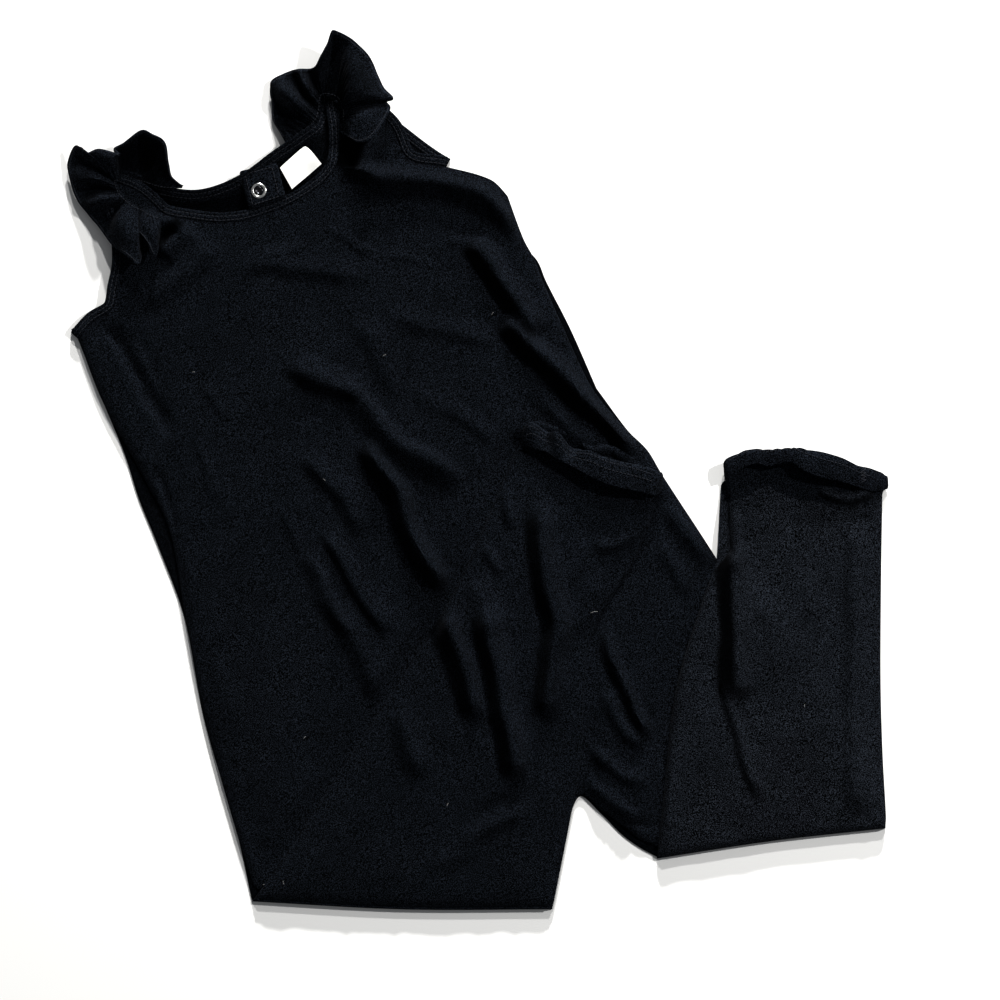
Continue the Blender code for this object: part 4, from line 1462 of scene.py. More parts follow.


# --------------------------------------------------------------------------- creases by panel

# A fold's seventh value, where given, is the painted shade on its right flank.
FRONT_FOLDS = (
    Fold("belly start", ((-122.5, 64.5), (-112.5, 61), (-101, 56), (-89.5, 50.5), (-80.5, 48),
         (-72, 45)), 7.5, 14, 8, 0.3, 0.45),
    Fold("belly", ((-84, 54), (-72.5, 42), (-61, 28), (-49.5, 16), (-36.5, 7.5), (-20.5, -0.5),
         (-5.5, -9)), 7.5, 7, 15, 0.22, 0.4),
    Fold("long", ((-71, 20), (-64, 5), (-55, -8), (-47.5, -21.5), (-42, -38.5), (-35.5, -54), (-27, -66),
         (-14.5, -78)), 12, 8, 11, 0.14, 0.55),
    Fold("waist right", ((-63.5, 98), (-43, 91), (-24.5, 86), (-5.5, 82), (18, 78.5)), 2.8, 11, 8, 0.3),
    Fold("middle of chest", ((-81, 95.5), (-71, 83.5), (-63.5, 71), (-56.5, 55),
         (-47, 39)), 2.6, 12, 8, 0.3),
    Fold("chest crease", ((-98.5, 150), (-86, 145), (-74.5, 138), (-63.5, 135)), 1.4, 5, 3, 0.3),
    Fold("chest crease left", ((-138.5, 132.5), (-118.5, 137.5), (-103.5, 138.5)), 1.3, 5, 4, 0.3),
    Fold("chest arc", ((-158.5, 121.5), (-136, 128), (-112.5, 125.5), (-88.5, 123),
         (-62, 117.5)), 2.8, 12, 9, 0.3, 0.12),
    Fold("chest crease right", ((-25.5, 141), (-7, 142.5), (7, 136.5)), 1.3, 5, 3, 0.3),
    Fold("chest crease far right", ((-65, 133), (-49.5, 133), (-34, 128)), 1.2, 5, 3, 0.3),
    Fold("armhole to neck", ((-215, 98), (-200, 110.5), (-186.5, 121.5), (-173, 134),
         (-163, 145.5)), 3.8, 11, 12, 0.25),
    Fold("left side trough", ((-239.5, 94), (-229, 81.5), (-220, 67.5), (-212, 51.5), (-202.5, 35.5),
         (-192.5, 17)), -4, 9, 5, 0.18),
    Fold("left side crease", ((-217.5, 86.5), (-206.5, 66.5), (-199.5, 44)), -1.2, 6, 4, 0.3),
    Fold("left seam roll", ((-204, 3.5), (-196.5, -17), (-192, -35), (-189.5, -56), (-185, -76.5),
         (-180, -98)), -2.6, 3, 3.4, 0.15),
    Fold("left crease", ((-173, 52.5), (-165.5, 40.5), (-159.5, 29)), 1.4, 7, 3, 0.3),
    Fold("left crease low", ((-178, 21.5), (-173, 4.5), (-169.5, -12), (-166, -25)), 1.4, 6, 3, 0.3),
    Fold("middle left", ((-116, 8), (-101, -2.5), (-88.5, -13.5), (-79.5, -27),
         (-72.5, -44)), 4.2, 14, 8, 0.25, 0.25),
    Fold("fine middle", ((-124, -25), (-117.5, -40), (-111, -56.5)), 1.6, 6, 3, 0.3),
    Fold("low bright", ((-108.5, -50.5), (-99.5, -69.5), (-91, -86.5), (-79.5, -105)), 4.6, 5, 10, 0.2),
    Fold("low crease", ((-98.5, -37.5), (-87, -58.5), (-78.5, -74.5), (-67, -90.5),
         (-56, -108)), 4.6, 10, 4.5, 0.2, 0.3),
    Fold("low middle", ((-89.5, -76.5), (-81.5, -100), (-73.5, -117.5), (-63.5, -136),
         (-52, -153)), 4.2, 12, 11, 0.25, 0.3),
    Fold("low left", ((-165.5, -108), (-159.5, -139.5), (-150, -171)), 1.7, 14, 12, 0.35),
    Fold("shoulder", ((-84.5, 179.5), (-65, 180.5), (-46.5, 181.5), (-26.5, 180.5), (-9.5, 177), (4, 171),
         (15, 163), (23.5, 152), (29.5, 138)), 11, 11, 13, 0.2, 0.35),
    Fold("right side upper", ((-8, 144), (3, 130), (12.5, 117.5), (21.5, 106.5), (30, 96),
         (40, 84)), 10, 13, 8.5, 0.15, 0.7),
    Fold("right side crest", ((13, 98.5), (22, 89), (31.5, 78.5), (44.5, 64.5), (59, 52), (74.5, 39),
         (91, 24), (104, 10)), 12, 11, 12, 0.12, 0.75),
    Fold("beside the crest", ((36, 47.5), (46, 36.5), (59, 24), (76, 12.5)), 3.8, 6, 9, 0.25),
    Fold("right ribs", ((-51, 54), (-30.5, 42.5), (-5.5, 36.5)), 1.4, 12, 10, 0.35),
    Fold("by the hem", ((-24.5, 42.5), (-5.5, 27.5), (13, 11)), 1.9, 8, 6, 0.3),
    Fold("thigh outside", ((112.5, -19), (123.5, -32), (135, -45.5), (147.5, -58.5)), 4.6, 6, 9, 0.2),
    Fold("thigh outside low", ((110.5, -45.5), (121, -61), (132.5, -83)), 2.6, 8, 8, 0.3),
    Fold("thigh long", ((74.5, -94), (83, -114.5), (90, -133.5), (99, -152.5),
         (111, -171)), 6.5, 5.5, 6, 0.15, 0.5),
    Fold("thigh inner", ((69, -117.5), (66.5, -145.5), (66, -164.5), (72, -179.5),
         (83.5, -191)), 4.6, 4.5, 4.5, 0.2, 0.3),
    Fold("thigh inner crease", ((79.5, -135.5), (83.5, -153), (93, -168), (107.5, -175)), 4.1, 9, 6, 0.25),
    Fold("thigh low", ((62, -192), (73.5, -201), (86, -211), (101, -221)), 3.8, 5.5, 6, 0.2),
    Fold("thigh low crease", ((72, -176), (83, -187), (93.5, -194.5), (106, -194)), 3.5, 5.5, 4.5, 0.25),
    Fold("thigh notch", ((83.5, -225.5), (98.5, -224.5), (113.5, -226)), -2.4, 3, 3, 0.2),
    Fold("knee corner", ((-132.5, -230.5), (-136, -246), (-140.5, -261.5)), -1.6, 12, 12, 0.3),
    Fold("left strap hollow", ((-211.5, 160.5), (-205, 158), (-199, 156), (-192, 155),
         (-185, 154.5)), 9, 7, 9, 0.2),
    Fold("left strap pit", ((-187.5, 151), (-193, 148), (-198, 141)), -4, 7, 8, 0.2),
    Fold("left strap edge", ((-181.5, 152.5), (-188, 145.5), (-193, 140.5),
         (-199, 133.5)), 7, 14, 10, 0.15, 0.9),
    Fold("under the neck band", ((-206.5, 158.5), (-194, 155), (-184.5, 153.5),
         (-175, 153.5)), 4.3, 6, 7, 0.25),
    Fold("right strap ridge", ((-58.5, 223.5), (-64.5, 208), (-70, 195.5), (-72, 185.5),
         (-73.5, 180)), 12, 13, 25, 0.1, 0.95),
    Fold("right strap hollow", ((-85.5, 207), (-81, 199.5), (-79.5, 189.5), (-81, 184.5)), -5, 10, 10, 0.2),
)

LEFT_SHIN_FOLDS = (
    Fold("rim", ((12, -6.5), (17, -21.5), (21, -40)), 3.5, 6, 4.5, 0.3),
    Fold("edge arch", ((3, -27.5), (10, -22.5), (18, -23.5)), -1.6, 4, 3, 0.3),
    Fold("edge crease", ((-0.5, -46.5), (7.5, -56), (15.5, -69)), 2.6, 4.5, 4.5, 0.3),
    Fold("high ground", ((-5.5, -67), (0.5, -83), (8, -108)), 3.6, 16, 10, 0.3),
    Fold("second band", ((2, -85.5), (8, -108), (12, -133), (16.5, -154), (21, -174),
         (21, -199)), 11, 12, 9, 0.14, 0.6),
    Fold("first band", ((-24.5, -83), (-17, -100.5), (-10, -120.5), (-5.5, -139.5),
         (0.5, -160.5)), 10, 8, 13, 0.18, 0.6),
    Fold("long", ((39, -19), (40, -51.5), (43.5, -76.5), (47.5, -95.5), (46.5, -120.5), (44, -139.5),
         (41.5, -162)), 10, 12, 10, 0.12, 0.65),
    Fold("patch", ((-49.5, -149.5), (-42.5, -174), (-32, -197)), 4, 12, 12, 0.3, 0.25),
    Fold("low bright", ((-15, -237.5), (7, -224.5), (31, -212)), 3.5, 9, 8, 0.25),
    Fold("low crease", ((-34, -253.5), (-14.5, -243.5), (7, -235)), 2, 9, 8, 0.3),
    Fold("under hem", ((68.5, -51), (83.5, -48.5), (95, -44.5), (105, -37.5)), 3.5, 9, 4.5, 0.25),
    Fold("band end", ((-9.5, -222), (13, -213.5), (32, -202)), -2, 10, 8, 0.3),
    Fold("small", ((51, -70.5), (54.5, -95.5), (52, -120.5)), 1.4, 10, 8, 0.35),
    Fold("low right", ((38.5, -183.5), (46, -208.5), (43.5, -233.5)), 1.4, 12, 10, 0.35),
    Fold("inner", ((76, -64), (69.5, -83), (60.5, -108)), 2.3, 9, 9, 0.3),
)

RIGHT_SHIN_FOLDS = (
    Fold("tuck", ((160, -45.5), (161.5, -67), (161.5, -95.5), (161.5, -120.5),
         (162.5, -145.5)), 8, 11, 12, 0.1, 0.92),
    Fold("tuck low", ((152.5, -130.5), (160, -159.5), (167, -184.5), (176.5, -212)), 3.2, 6, 4, 0.2, 0.5),
    Fold("under hem", ((211.5, -12), (224, -18.5), (234, -19), (248, -12.5)), 5, 6, 5, 0.15, 0.6),
    Fold("middle", ((191.5, -83), (188.5, -111), (181.5, -142.5)), 1.9, 10, 7, 0.3),
    Fold("upper left", ((169, -20), (170, -45.5), (167.5, -67)), 1.4, 12, 8, 0.3),
    Fold("side", ((234.5, -32.5), (234.5, -83), (234, -133), (235.5, -183.5),
         (236.5, -221)), 4.3, 15, 7, 0.1),
    Fold("low middle", ((138.5, -145.5), (142.5, -171), (141, -196)), 1.4, 10, 9, 0.3),
    Fold("patch", ((173, -83), (179.5, -101.5)), 1.4, 8, 8, 0.4),
)

RIGHT_SHIN_RIMS = (
    Fold("notch rim", ((161, -20), (162, -42), (160, -56), (152, -66)), 5.0, 5, 9, 0.3),
    Fold("inner rim", ((151, -68), (140, -92), (128, -138), (119, -200), (115, -240)), 2.5, 8, 8, 0.1),
)


# --------------------------------------------------------------------------- panels

@dataclass(frozen=True)
class Cut:
    """What a piece was cut to before it was sewn.

    Attributes:
        width: The cut's width, in metres.
        length: Its length.
        area: Its area, in square metres.
        held: How it lies.
        rests_on: What it lies on.
    """

    width: float
    length: float
    area: float
    held: str
    rests_on: tuple[str, ...] = ()

    def declare(self, piece: Piece, with_pieces: Sequence[Piece] = ()) -> None:
        """Does nothing; the cut of the piece is not stated anywhere."""


@dataclass(frozen=True)
class BackPanel:
    """The whole back, flat on the surface, seen inside the neck and past the left side.

    Attributes:
        spacing: The distance between the net's points.
        rings: How far in from the edge the close rings lie.
        cut: What it was cut to.
    """

    spacing: float = 4.0
    rings: tuple[float, ...] = (0.3, 0.9, 1.8, 3.0, 5.0)
    cut: Cut = Cut(0.42, 0.56, 0.150, "laid")

    def build(self, lay: Lay, wardrobe: Wardrobe) -> Piece:
        """Make the panel.

        Args:
            lay: The outlines and heights.
            wardrobe: The finishes.

        Returns:
            The piece.
        """
        flat = fill(lay.back, self.spacing, self.rings)
        top = lay.back_top(flat.place)
        rise = lay.neck_rise(flat.place)
        lower = np.minimum(0.05 + np.maximum(rise - 0.2, 0.0), top - 0.2)
        # Its top faces take the darker copy of the jersey, painted shade where it shows inside the neck.
        piece = cloth_wall("back_panel", flat, lower, top, wardrobe.jersey, wardrobe.inside)
        return hand_in(piece, Slot.JERSEY, "back")


@dataclass(frozen=True)
class FrontPanel:
    """The whole front, with the creases that show.

    Attributes:
        spacing: The distance between the net's points.
        rings: How far in from the edge the close rings lie.
        folds: Its creases.
        cut: What it was cut to.
    """

    spacing: float = 2.1
    rings: tuple[float, ...] = (0.25, 0.8, 1.7, 3.0, 4.6, 6.6)
    cut: Cut = Cut(0.40, 0.56, 0.147, "laid", ("back",))
    folds: tuple[Fold, ...] = FRONT_FOLDS

    def top(self, lay: Lay, p: Array) -> Array:
        """The height of the panel's top at each point."""
        return lay.front_top(p, self.folds)

    def build(self, lay: Lay, wardrobe: Wardrobe) -> Piece:
        """Make the panel.

        Args:
            lay: The outlines and heights.
            wardrobe: The finishes.

        Returns:
            The piece.
        """
        flat = fill(lay.front, self.spacing, self.rings)
        top = self.top(lay, flat.place)
        under = lay.back_top(flat.place) + 0.06
        lower = np.minimum(np.maximum(top - lay.heights.cloth, under), top - 0.05)
        # Painted shade in the folds' hollows, none where a leg lies over the front.
        painted_shade = all_painted_shade(flat.place, self.folds) * lay.freedom(flat.place)
        piece = cloth_wall("front_panel", flat, lower, top, wardrobe.jersey, painted_shade=painted_shade)
        return hand_in(piece, Slot.JERSEY, "front")


@dataclass(frozen=True)
class Shin:
    """A folded-up shin: a flattened tube, its outer panel on top, the hidden layer below.

    Attributes:
        side: Which leg.
        folds: The outer panel's creases.
        grain: The direction of its faint creases, in degrees.
        cut: What the outer panel was cut to.
        under_cut: What the hidden one was cut to.
        seam: The line of its side seam, or none where it lies at the edge.
        rims: Folds that stand at its very edge.
        low_roll: How far in from its edge the low half of it rounds off.
        spacing: The distance between the net's points.
        rings: How far in from the edge the close rings lie.
        under_inset: How far inside the outer panel the hidden one ends.
        under_spacing: The distance between that one's points.
    """

    side: str
    folds: tuple[Fold, ...]
    grain: float
    cut: Cut
    under_cut: Cut
    seam: tuple[Place, ...] = ()
    rims: tuple[Fold, ...] = ()
    low_roll: float = 5.5
    spacing: float = 2.1
    rings: tuple[float, ...] = (0.25, 0.8, 1.7, 3.0, 4.6)
    under_inset: float = 1.2
    under_spacing: float = 4.5

    def outline(self, lay: Lay) -> Outline:
        """The leg's outline."""
        return lay.left_shin if self.side == "left" else lay.right_shin

    def floor(self, lay: Lay, p: Array) -> Array:
        """What the leg lies on at each point."""
        return lay.left_floor(p) if self.side == "left" else lay.right_floor(p)

    def top(self, lay: Lay, p: Array) -> Array:
        """The height of the outer panel's top at each point.

        Args:
            lay: The outlines and heights.
            p: The points.

        Returns:
            A height for each.
        """
        h, outline, floor = lay.heights, self.outline(lay), self.floor(lay, p)
        knee = outline.distance(p, (KNEE,))
        closed = np.minimum(outline.distance(p, (SIDE,)), knee)
        edge = h.knee_edge + (floor + h.shin_edge - h.knee_edge) * smoothstep(knee / h.knee_rise)
        puff = h.shin_puff * smoothstep(closed / h.puff_reach)
        level = floor + h.shin + puff + all_folds(p, self.rims)
        relief = all_folds(p, self.folds) + h.shin_waver * lay_of_cloth(p, self.grain, 5.0 + self.grain)
        relief *= smoothstep(closed / h.shin_calm)
        if self.seam:
            line = through(self.seam, 3.0)
            off = to_segments(p, line[:-1], line[1:])[0]
            pucker = 0.25 * ripple(p, 5.0, 61.0) * np.exp(-(off / 5.0) ** 2)
            relief += 0.45 * np.exp(-((off - 2.4) / 1.8) ** 2) - 0.75 * np.exp(-(off / 0.9) ** 2) + pucker
        low = smoothstep((h.low_start - p[:, 1]) / h.low_reach)
        reach = h.shin_roll + (self.low_roll - h.shin_roll) * low
        return edge + (level - edge) * rolled(closed, reach) + relief

    def build(self, lay: Lay, wardrobe: Wardrobe) -> list[Piece]:
        """Make both layers.

        Args:
            lay: The outlines and heights.
            wardrobe: The finishes.

        Returns:
            The outer panel and the hidden one.
        """
        h = lay.heights
        flat = fill(self.outline(lay), self.spacing, self.rings)
        top = self.top(lay, flat.place)
        lower = np.minimum(np.maximum(top - h.cloth, 0.05), top - 0.1)
        # The right leg's layers take the paler copy of the jersey: painted light.
        finish = wardrobe.turned if self.side == "right" else wardrobe.jersey
        # Painted shade in the folds' hollows.
        painted_shade = all_painted_shade(flat.place, self.folds)
        outer = cloth_wall(f"{self.side}_shin_outer", flat, lower, top, finish, painted_shade=painted_shade)
        hand_in(outer, Slot.JERSEY, f"{self.side}_shin")
        inset = (lay.right_under if self.side == "right" else lay.left_shin).inset(self.under_inset)
        flat = fill(inset, self.under_spacing, (0.8, 2.0))
        edge = inset.distance(flat.place)
        lower = self.floor(lay, flat.place) + 0.12 + 0.5 * (1.0 - rolled(edge, 2.0))
        thick = np.minimum(h.cloth, 0.35 + edge * 0.2)
        under = cloth_wall(f"{self.side}_shin_hidden", flat, lower, lower + thick, finish)
        hand_in(under, Slot.JERSEY, f"{self.side}_shin_inner")
        return [outer, under]


LEFT_LEG = Shin("left", LEFT_SHIN_FOLDS, 62.0, Cut(0.19, 0.30, 0.0375, "folded", ("front",)),
                Cut(0.19, 0.30, 0.0370, "folded", ("front",)), low_roll=15.0)
RIGHT_LEG = Shin("right", RIGHT_SHIN_FOLDS, 88.0, Cut(0.145, 0.235, 0.0285, "folded", ("front",)),
                 Cut(0.145, 0.235, 0.0280, "folded", ("front",)),
                 seam=((243, -20), (240, -83), (238, -146), (243, -222)), rims=RIGHT_SHIN_RIMS)


# --------------------------------------------------------------------------- cuffs

def between(stations: Sequence[tuple], steps: int, closed: bool = False) -> Array:
    """Three places for each column, carried smoothly from one station's to the next one's."""
    rows = np.array([station[1:4] for station in stations], float).reshape(len(stations), 9)
    return blended(rows, steps, closed).reshape(-1, 3, 3)


CURL_IN = 0.22
CURL_OUT = 0.26
CURL_DROP = 2.2
# How strong the painted highlights are along a cuff's crest and along a sleeve's hem edge.
CREST_HIGHLIGHT = 2.0
HEM_HIGHLIGHT = 2.2


class Turn(NamedTuple):
    """A station round a turned-back hem: where it starts, its fold, and its free edge."""

    place: str
    root: Place3
    crest: Place3
    edge: Place3


@dataclass(frozen=True)
class Cuff:
    """A leg's hem, curled back on itself, open at its mouth.

    Attributes:
        side: Which leg.
        upper: Its stations over the leg, from left to right.
        lower: Its stations under the leg, from right to left.
        cut: What it was cut to, all round.
        steps: Columns between two stations.
        rows: Rows from root to free edge.
        join: How many columns from its outer end the seam's zigzag crosses it, or none.
        join_rows: The rows that the zigzag runs from and to.
        single: Half the thickness of the doubled hem.
        doubles: Where it starts to be double and over how far, as shares of the way down.
        ends: Where it starts to thin at its free edge and over how far.
        crest: Where the painted highlight along its crest lies, as a share of the way down.
        crest_width: Half the width of that.
        stitch_rows: Where its rows of stitches run, as shares of the way down.
    """

    side: str
    upper: tuple[Turn, ...]
    lower: tuple[Turn, ...]
    cut: Cut
    steps: int = 9
    rows: int = 26
    join: int = 0
    join_rows: tuple[int, int] = (9, 24)
    single: float = 0.9
    doubles: tuple[float, float] = (0.25, 0.2)
    ends: tuple[float, float] = (0.93, 0.07)
    crest: float = 0.56
    crest_width: float = 0.022
    stitch_rows: tuple[float, float] = (0.62, 0.74)

    def grid(self) -> Array:
        """The cloth's middle, by column round the mouth and row along the hem.

        Returns:
            Three coordinates for each.
        """
        columns = []
        for root, crest, edge in between((*self.upper, *self.lower), self.steps, closed=True):
            inner = crest + (root - crest) * CURL_IN
            inner[2] = min(crest[2] - CURL_DROP, (crest[2] + root[2]) / 2)
            outer = crest + (edge - crest) * CURL_OUT
            outer[2] = crest[2] + 0.35 + (edge[2] - crest[2]) * 0.2
            low = crest - np.array((0.0, 0.0, 0.9))
            columns.append(evenly(through((root, inner, low, outer, edge), 0.6), self.rows))
        grid = np.array(columns)
        flatter = grid.reshape(-1, 3)
        wave = ripple(flatter[:, :2] + flatter[:, 2:3] * 1.5, 7.0, 12.0).reshape(grid.shape[:2])
        share = np.linspace(0.0, 1.0, self.rows)
        grid[..., 2] += 0.55 * wave * share[None, :]
        grid[..., 2] = np.maximum(grid[..., 2], 0.75)
        return grid

    def build(self, wardrobe: Wardrobe) -> list[Piece]:
        """Make the cuff and its stitches.

        Args:
            wardrobe: The finishes.

        Returns:
            The cuff, then its stitches.
        """
        grid = self.grid()
        share = np.linspace(0.0, 1.0, self.rows)
        layer = self.single
        thickness = layer + layer * eased(share, *self.doubles) - layer * eased(share, *self.ends)
        # The crest's painted highlight: a narrow band, given as shade below 0.
        crest = np.exp(-((share - self.crest) / self.crest_width) ** 2)
        rubbed = np.tile(-CREST_HIGHLIGHT * crest, (len(grid), 1))
        cuff = grid_wall(f"{self.side}_cuff", grid, thickness, wardrobe.jersey, closed=True, painted_shade=rubbed)
        hand_in(cuff, Slot.JERSEY, f"{self.side}_hem")
        thread = Thread(f"{self.side}_cuff_stitches", 0.24)
        columns = self.steps * (len(self.upper) - 1)
        for down in self.stitch_rows:
            path = grid[2:columns - 2, int(self.rows * down)] + np.array((0.0, 0.0, 1.05))
            thread.row(path, 2.5, 1.9)
        if self.join:
            path = grid[columns - self.join, slice(*self.join_rows)] + np.array((0.0, 0.0, 1.1))
            thread.zigzag(path, np.tile((1.0, 0.2, 0.0), (len(path), 1)), 1.7, 1.1)
        stitches = thread.make(wardrobe.thread)
        self.cut.declare(cuff, [stitches])
        return [cuff, stitches]


LEFT_CUFF = Cuff(
    "left",
    (
        Turn("outer end", (32.1, 10, 4.5), (28.3, 21.2, 8), (27.6, 14.3, 8)),
        Turn("outer tip", (35.2, 7.4, 6.5), (32, 28.2, 14), (33.9, 12.3, 12)),
        Turn("crumple", (39.6, 6.2, 7), (42.1, 22.5, 7), (41.9, 9.8, 14)),
        Turn("ridge", (45.8, 3.7, 7), (48.7, 21.6, 17), (49.4, 5.4, 16)),
        Turn("dip", (54.6, -1.3, 7), (57.6, 12.4, 11), (57.5, 1, 16)),
        Turn("middle", (68.4, -11.4, 7), (69.3, 9.7, 17), (70.5, -5.8, 18)),
        Turn("crest", (79.7, -13.9, 7), (78.6, 6, 18), (80.4, -10.2, 19)),
        Turn("crest inner", (89.7, -16.4, 7), (90.4, 2.9, 18), (89.1, -12.7, 18.5)),
        Turn("inner", (99.8, -17.7, 7), (101.7, 0.4, 16), (100.5, -14.9, 16)),
        Turn("inner end", (107.3, -18.9, 6), (112, -2.7, 12), (110.7, -17, 12)),
    ),
    (
        Turn("inner fold", (108.7, -15.1, 4.2), (113.9, -3.9, 6.5), (113.7, -12.6, 4.4)),
        Turn("far inner", (101.2, -13.9, 4.2), (103, 0.9, 6), (102.4, -7.6, 4.4)),
        Turn("far arc right", (89.9, -11.4, 4.2), (92.1, 8.6, 10), (92.4, -2.6, 4.4)),
        Turn("far arc", (79.8, -7.6, 4.2), (80.2, 13.9, 10), (83.6, 3.7, 4.4)),
        Turn("far arc left", (71, -2.6, 4.2), (69.6, 13.3, 9), (71, 5, 4.4)),
        Turn("far fold", (59.7, 3.7, 4.2), (59, 21.2, 8), (59.7, 12.5, 4.4)),
        Turn("far outer", (48.4, 8.7, 4.2), (48.3, 25.6, 7), (48.4, 17.5, 4.4)),
        Turn("outer far end", (38.4, 12.5, 4.2), (35.8, 28.8, 6.5), (35.8, 20, 4.4)),
    ),
    Cut(0.190, 0.034, 0.0063, "folded", ("left_shin",)),
)

RIGHT_CUFF = Cuff(
    "right",
    (
        Turn("inner end", (157.8, -20.2, 3), (154.5, 4.2, 12), (155.5, -5.8, 11)),
        Turn("inner", (162.8, -18.9, 4), (161.9, 8.3, 13), (162.5, -1.4, 13)),
        Turn("inner crest", (171.6, -17, 4), (170.6, 10.8, 13), (171.7, 2.6, 14)),
        Turn("saddle", (181.6, -15.1, 4), (181.2, 10.8, 13), (181.8, 1.1, 13)),
        Turn("peak", (195.4, -18.3, 4), (192.8, 11.5, 15), (194, 3.8, 16)),
        Turn("peak outer", (204.2, -20.2, 4), (200.9, 11.5, 15), (202.1, -1.5, 16)),
        Turn("outer", (215.5, -22, 4), (214.2, 8.9, 14), (214.2, -6.1, 14)),
        Turn("outer slope", (228.1, -23.3, 4), (227, 5.5, 12), (227.6, -8.9, 12)),
        Turn("outer low", (238.2, -23.9, 3.5), (237.9, 0.8, 10), (238.5, -12.3, 10)),
        Turn("outer end", (247.1, -23.3, 3), (248.9, -2.3, 7.5), (247.5, -14.5, 8.5)),
    ),
    (
        Turn("outer fold", (252.5, -20.2, 1), (255.9, -5.7, 3), (256.8, -12.6, 1.2)),
        Turn("far outer", (241.1, -20.2, 1), (242.1, -1.3, 2.6), (242.4, -10.1, 1.2)),
        Turn("far middle", (217.8, -17.6, 1), (218.3, 6.3, 2.6), (218.4, -3.8, 1.2)),
        Turn("far peak", (195.8, -13.9, 1), (195.6, 8.8, 2.6), (195.8, -1.3, 1.2)),
        Turn("far inner", (171.9, -13.9, 1), (171.7, 7.5, 2.6), (171.9, -2.5, 1.2)),
        Turn("inner fold", (160.6, -17.6, 1), (156.6, 1.2, 3), (156.8, -7.6, 1.2)),
    ),
    Cut(0.200, 0.034, 0.0066, "folded", ("right_shin",)),
    join=7,
)


# --------------------------------------------------------------------------- ruffles

class Rib(NamedTuple):
    """A line across a gathered sleeve: its seam, its middle and its hem, and the painted shade at each."""

    place: str
    seam: Place3
    middle: Place3
    hem: Place3
    painted_shade: Place3 = (0.0, 0.0, 0.0)


@dataclass(frozen=True)
class Ruffle:
    """A flutter sleeve: a strip gathered into the armhole's seam, fluted at its hem.

    Attributes:
        side: Which shoulder.
        ribs: Its lines from front end to back end.
        cut: What the strip was cut to.
        steps: Columns between two ribs.
        rows: Rows from seam to hem.
        gather: How high the small gathers stand at the seam.
        pitch: Their width.
        lasting: How far down they last, as a share of the way to the hem, and how much that varies.
        flutter: How far the cloth wavers at its hem.
        calm: Over what distance from its ends all that grows.
        wall: The cloth's thickness.
        doubles: Where its hem starts to be double and over how far, as shares of the way down.
        ends: Where it starts to thin at its very edge and over how far.
    """

    side: str
    ribs: tuple[Rib, ...]
    cut: Cut
    steps: int = 10
    rows: int = 24
    gather: float = 0.75
    pitch: float = 3.4
    lasting: tuple[float, float] = (0.42, 0.16)
    flutter: float = 0.9
    calm: float = 9.0
    wall: float = 0.8
    doubles: tuple[float, float] = (0.88, 0.05)
    ends: tuple[float, float] = (0.97, 0.03)

    def grid(self) -> Array:
        """The cloth's middle, by column along the seam and row towards the hem.

        Returns:
            Three coordinates for each.
        """
        share = np.linspace(0.0, 1.0, self.rows)
        lines = between(self.ribs, self.steps)
        grid = np.array([evenly(through(places, 0.8), self.rows) for places in lines])
        run = run_along(grid[:, self.rows // 3])
        drift = ripple_along(run, 11.0, 2.5)
        phase = 2 * math.pi * (run / self.pitch + 0.8 * drift)
        lasting = np.exp(-(share[None, :] / (self.lasting[0] + self.lasting[1] * drift[:, None])) ** 2)
        steps = np.linalg.norm(np.gradient(grid, axis=0), axis=2)
        room = np.clip(steps / np.maximum(steps[:, self.rows // 3][:, None], 0.05), 0.0, 1.0)
        small = np.sin(phase)[:, None] * lasting * room * self.gather
        spread = np.column_stack((np.repeat(run, self.rows), np.tile(share * 26.0, len(run))))
        flutter = ripple(spread, 8.0, 6.0).reshape(len(run), self.rows) * share[None, :] * self.flutter
        ends = smoothstep(np.minimum(run, run[-1] - run) / self.calm)[:, None]
        grid += off_grid(grid) * ((small + flutter) * ends)[..., None]
        grid[..., 2] = np.maximum(grid[..., 2], 0.8)
        return grid

    def painted_shade(self) -> Array:
        """The painted shade, by column and row; below 0 along its hem's edge, where a highlight is painted.

        Returns:
            A value for each.
        """
        fine = np.clip(blended(np.array([rib.painted_shade for rib in self.ribs], float), self.steps), 0.0, 1.0)
        share = np.linspace(0.0, 1.0, self.rows)
        dark = np.array([np.interp(share, (0.0, 0.5, 1.0), row) for row in fine])
        # A painted highlight along the hem's very edge, given as shade below 0.
        edge_highlight = np.exp(-((share - 0.985) / 0.03) ** 2)[None, :]
        return dark * (1.0 - edge_highlight) - HEM_HIGHLIGHT * edge_highlight

    def build(self, wardrobe: Wardrobe) -> list[Piece]:
        """Make the sleeve.

        Args:
            wardrobe: The finishes.

        Returns:
            The sleeve, then its seam's stitches.
        """
        grid = self.grid()
        share = np.linspace(0.0, 1.0, self.rows)
        thickness = self.wall + 0.75 * eased(share, *self.doubles) - 0.6 * eased(share, *self.ends)
        sleeve = grid_wall(f"{self.side}_flutter_sleeve", grid, thickness, wardrobe.jersey,
                           painted_shade=self.painted_shade())
        hand_in(sleeve, Slot.JERSEY, f"{self.side}_ruffle")
        thread = Thread(f"{self.side}_gather_stitches", 0.26)
        thread.row(grid[3:-3, 1] + np.array((0.0, 0.0, 0.75)), 2.6, 1.9)
        thread.row(grid[4:-4, -2] + np.array((0.0, 0.0, 0.7)), 1.5, 1.3)
        stitches = thread.make(wardrobe.thread)
        self.cut.declare(sleeve, [stitches])
        return [sleeve, stitches]
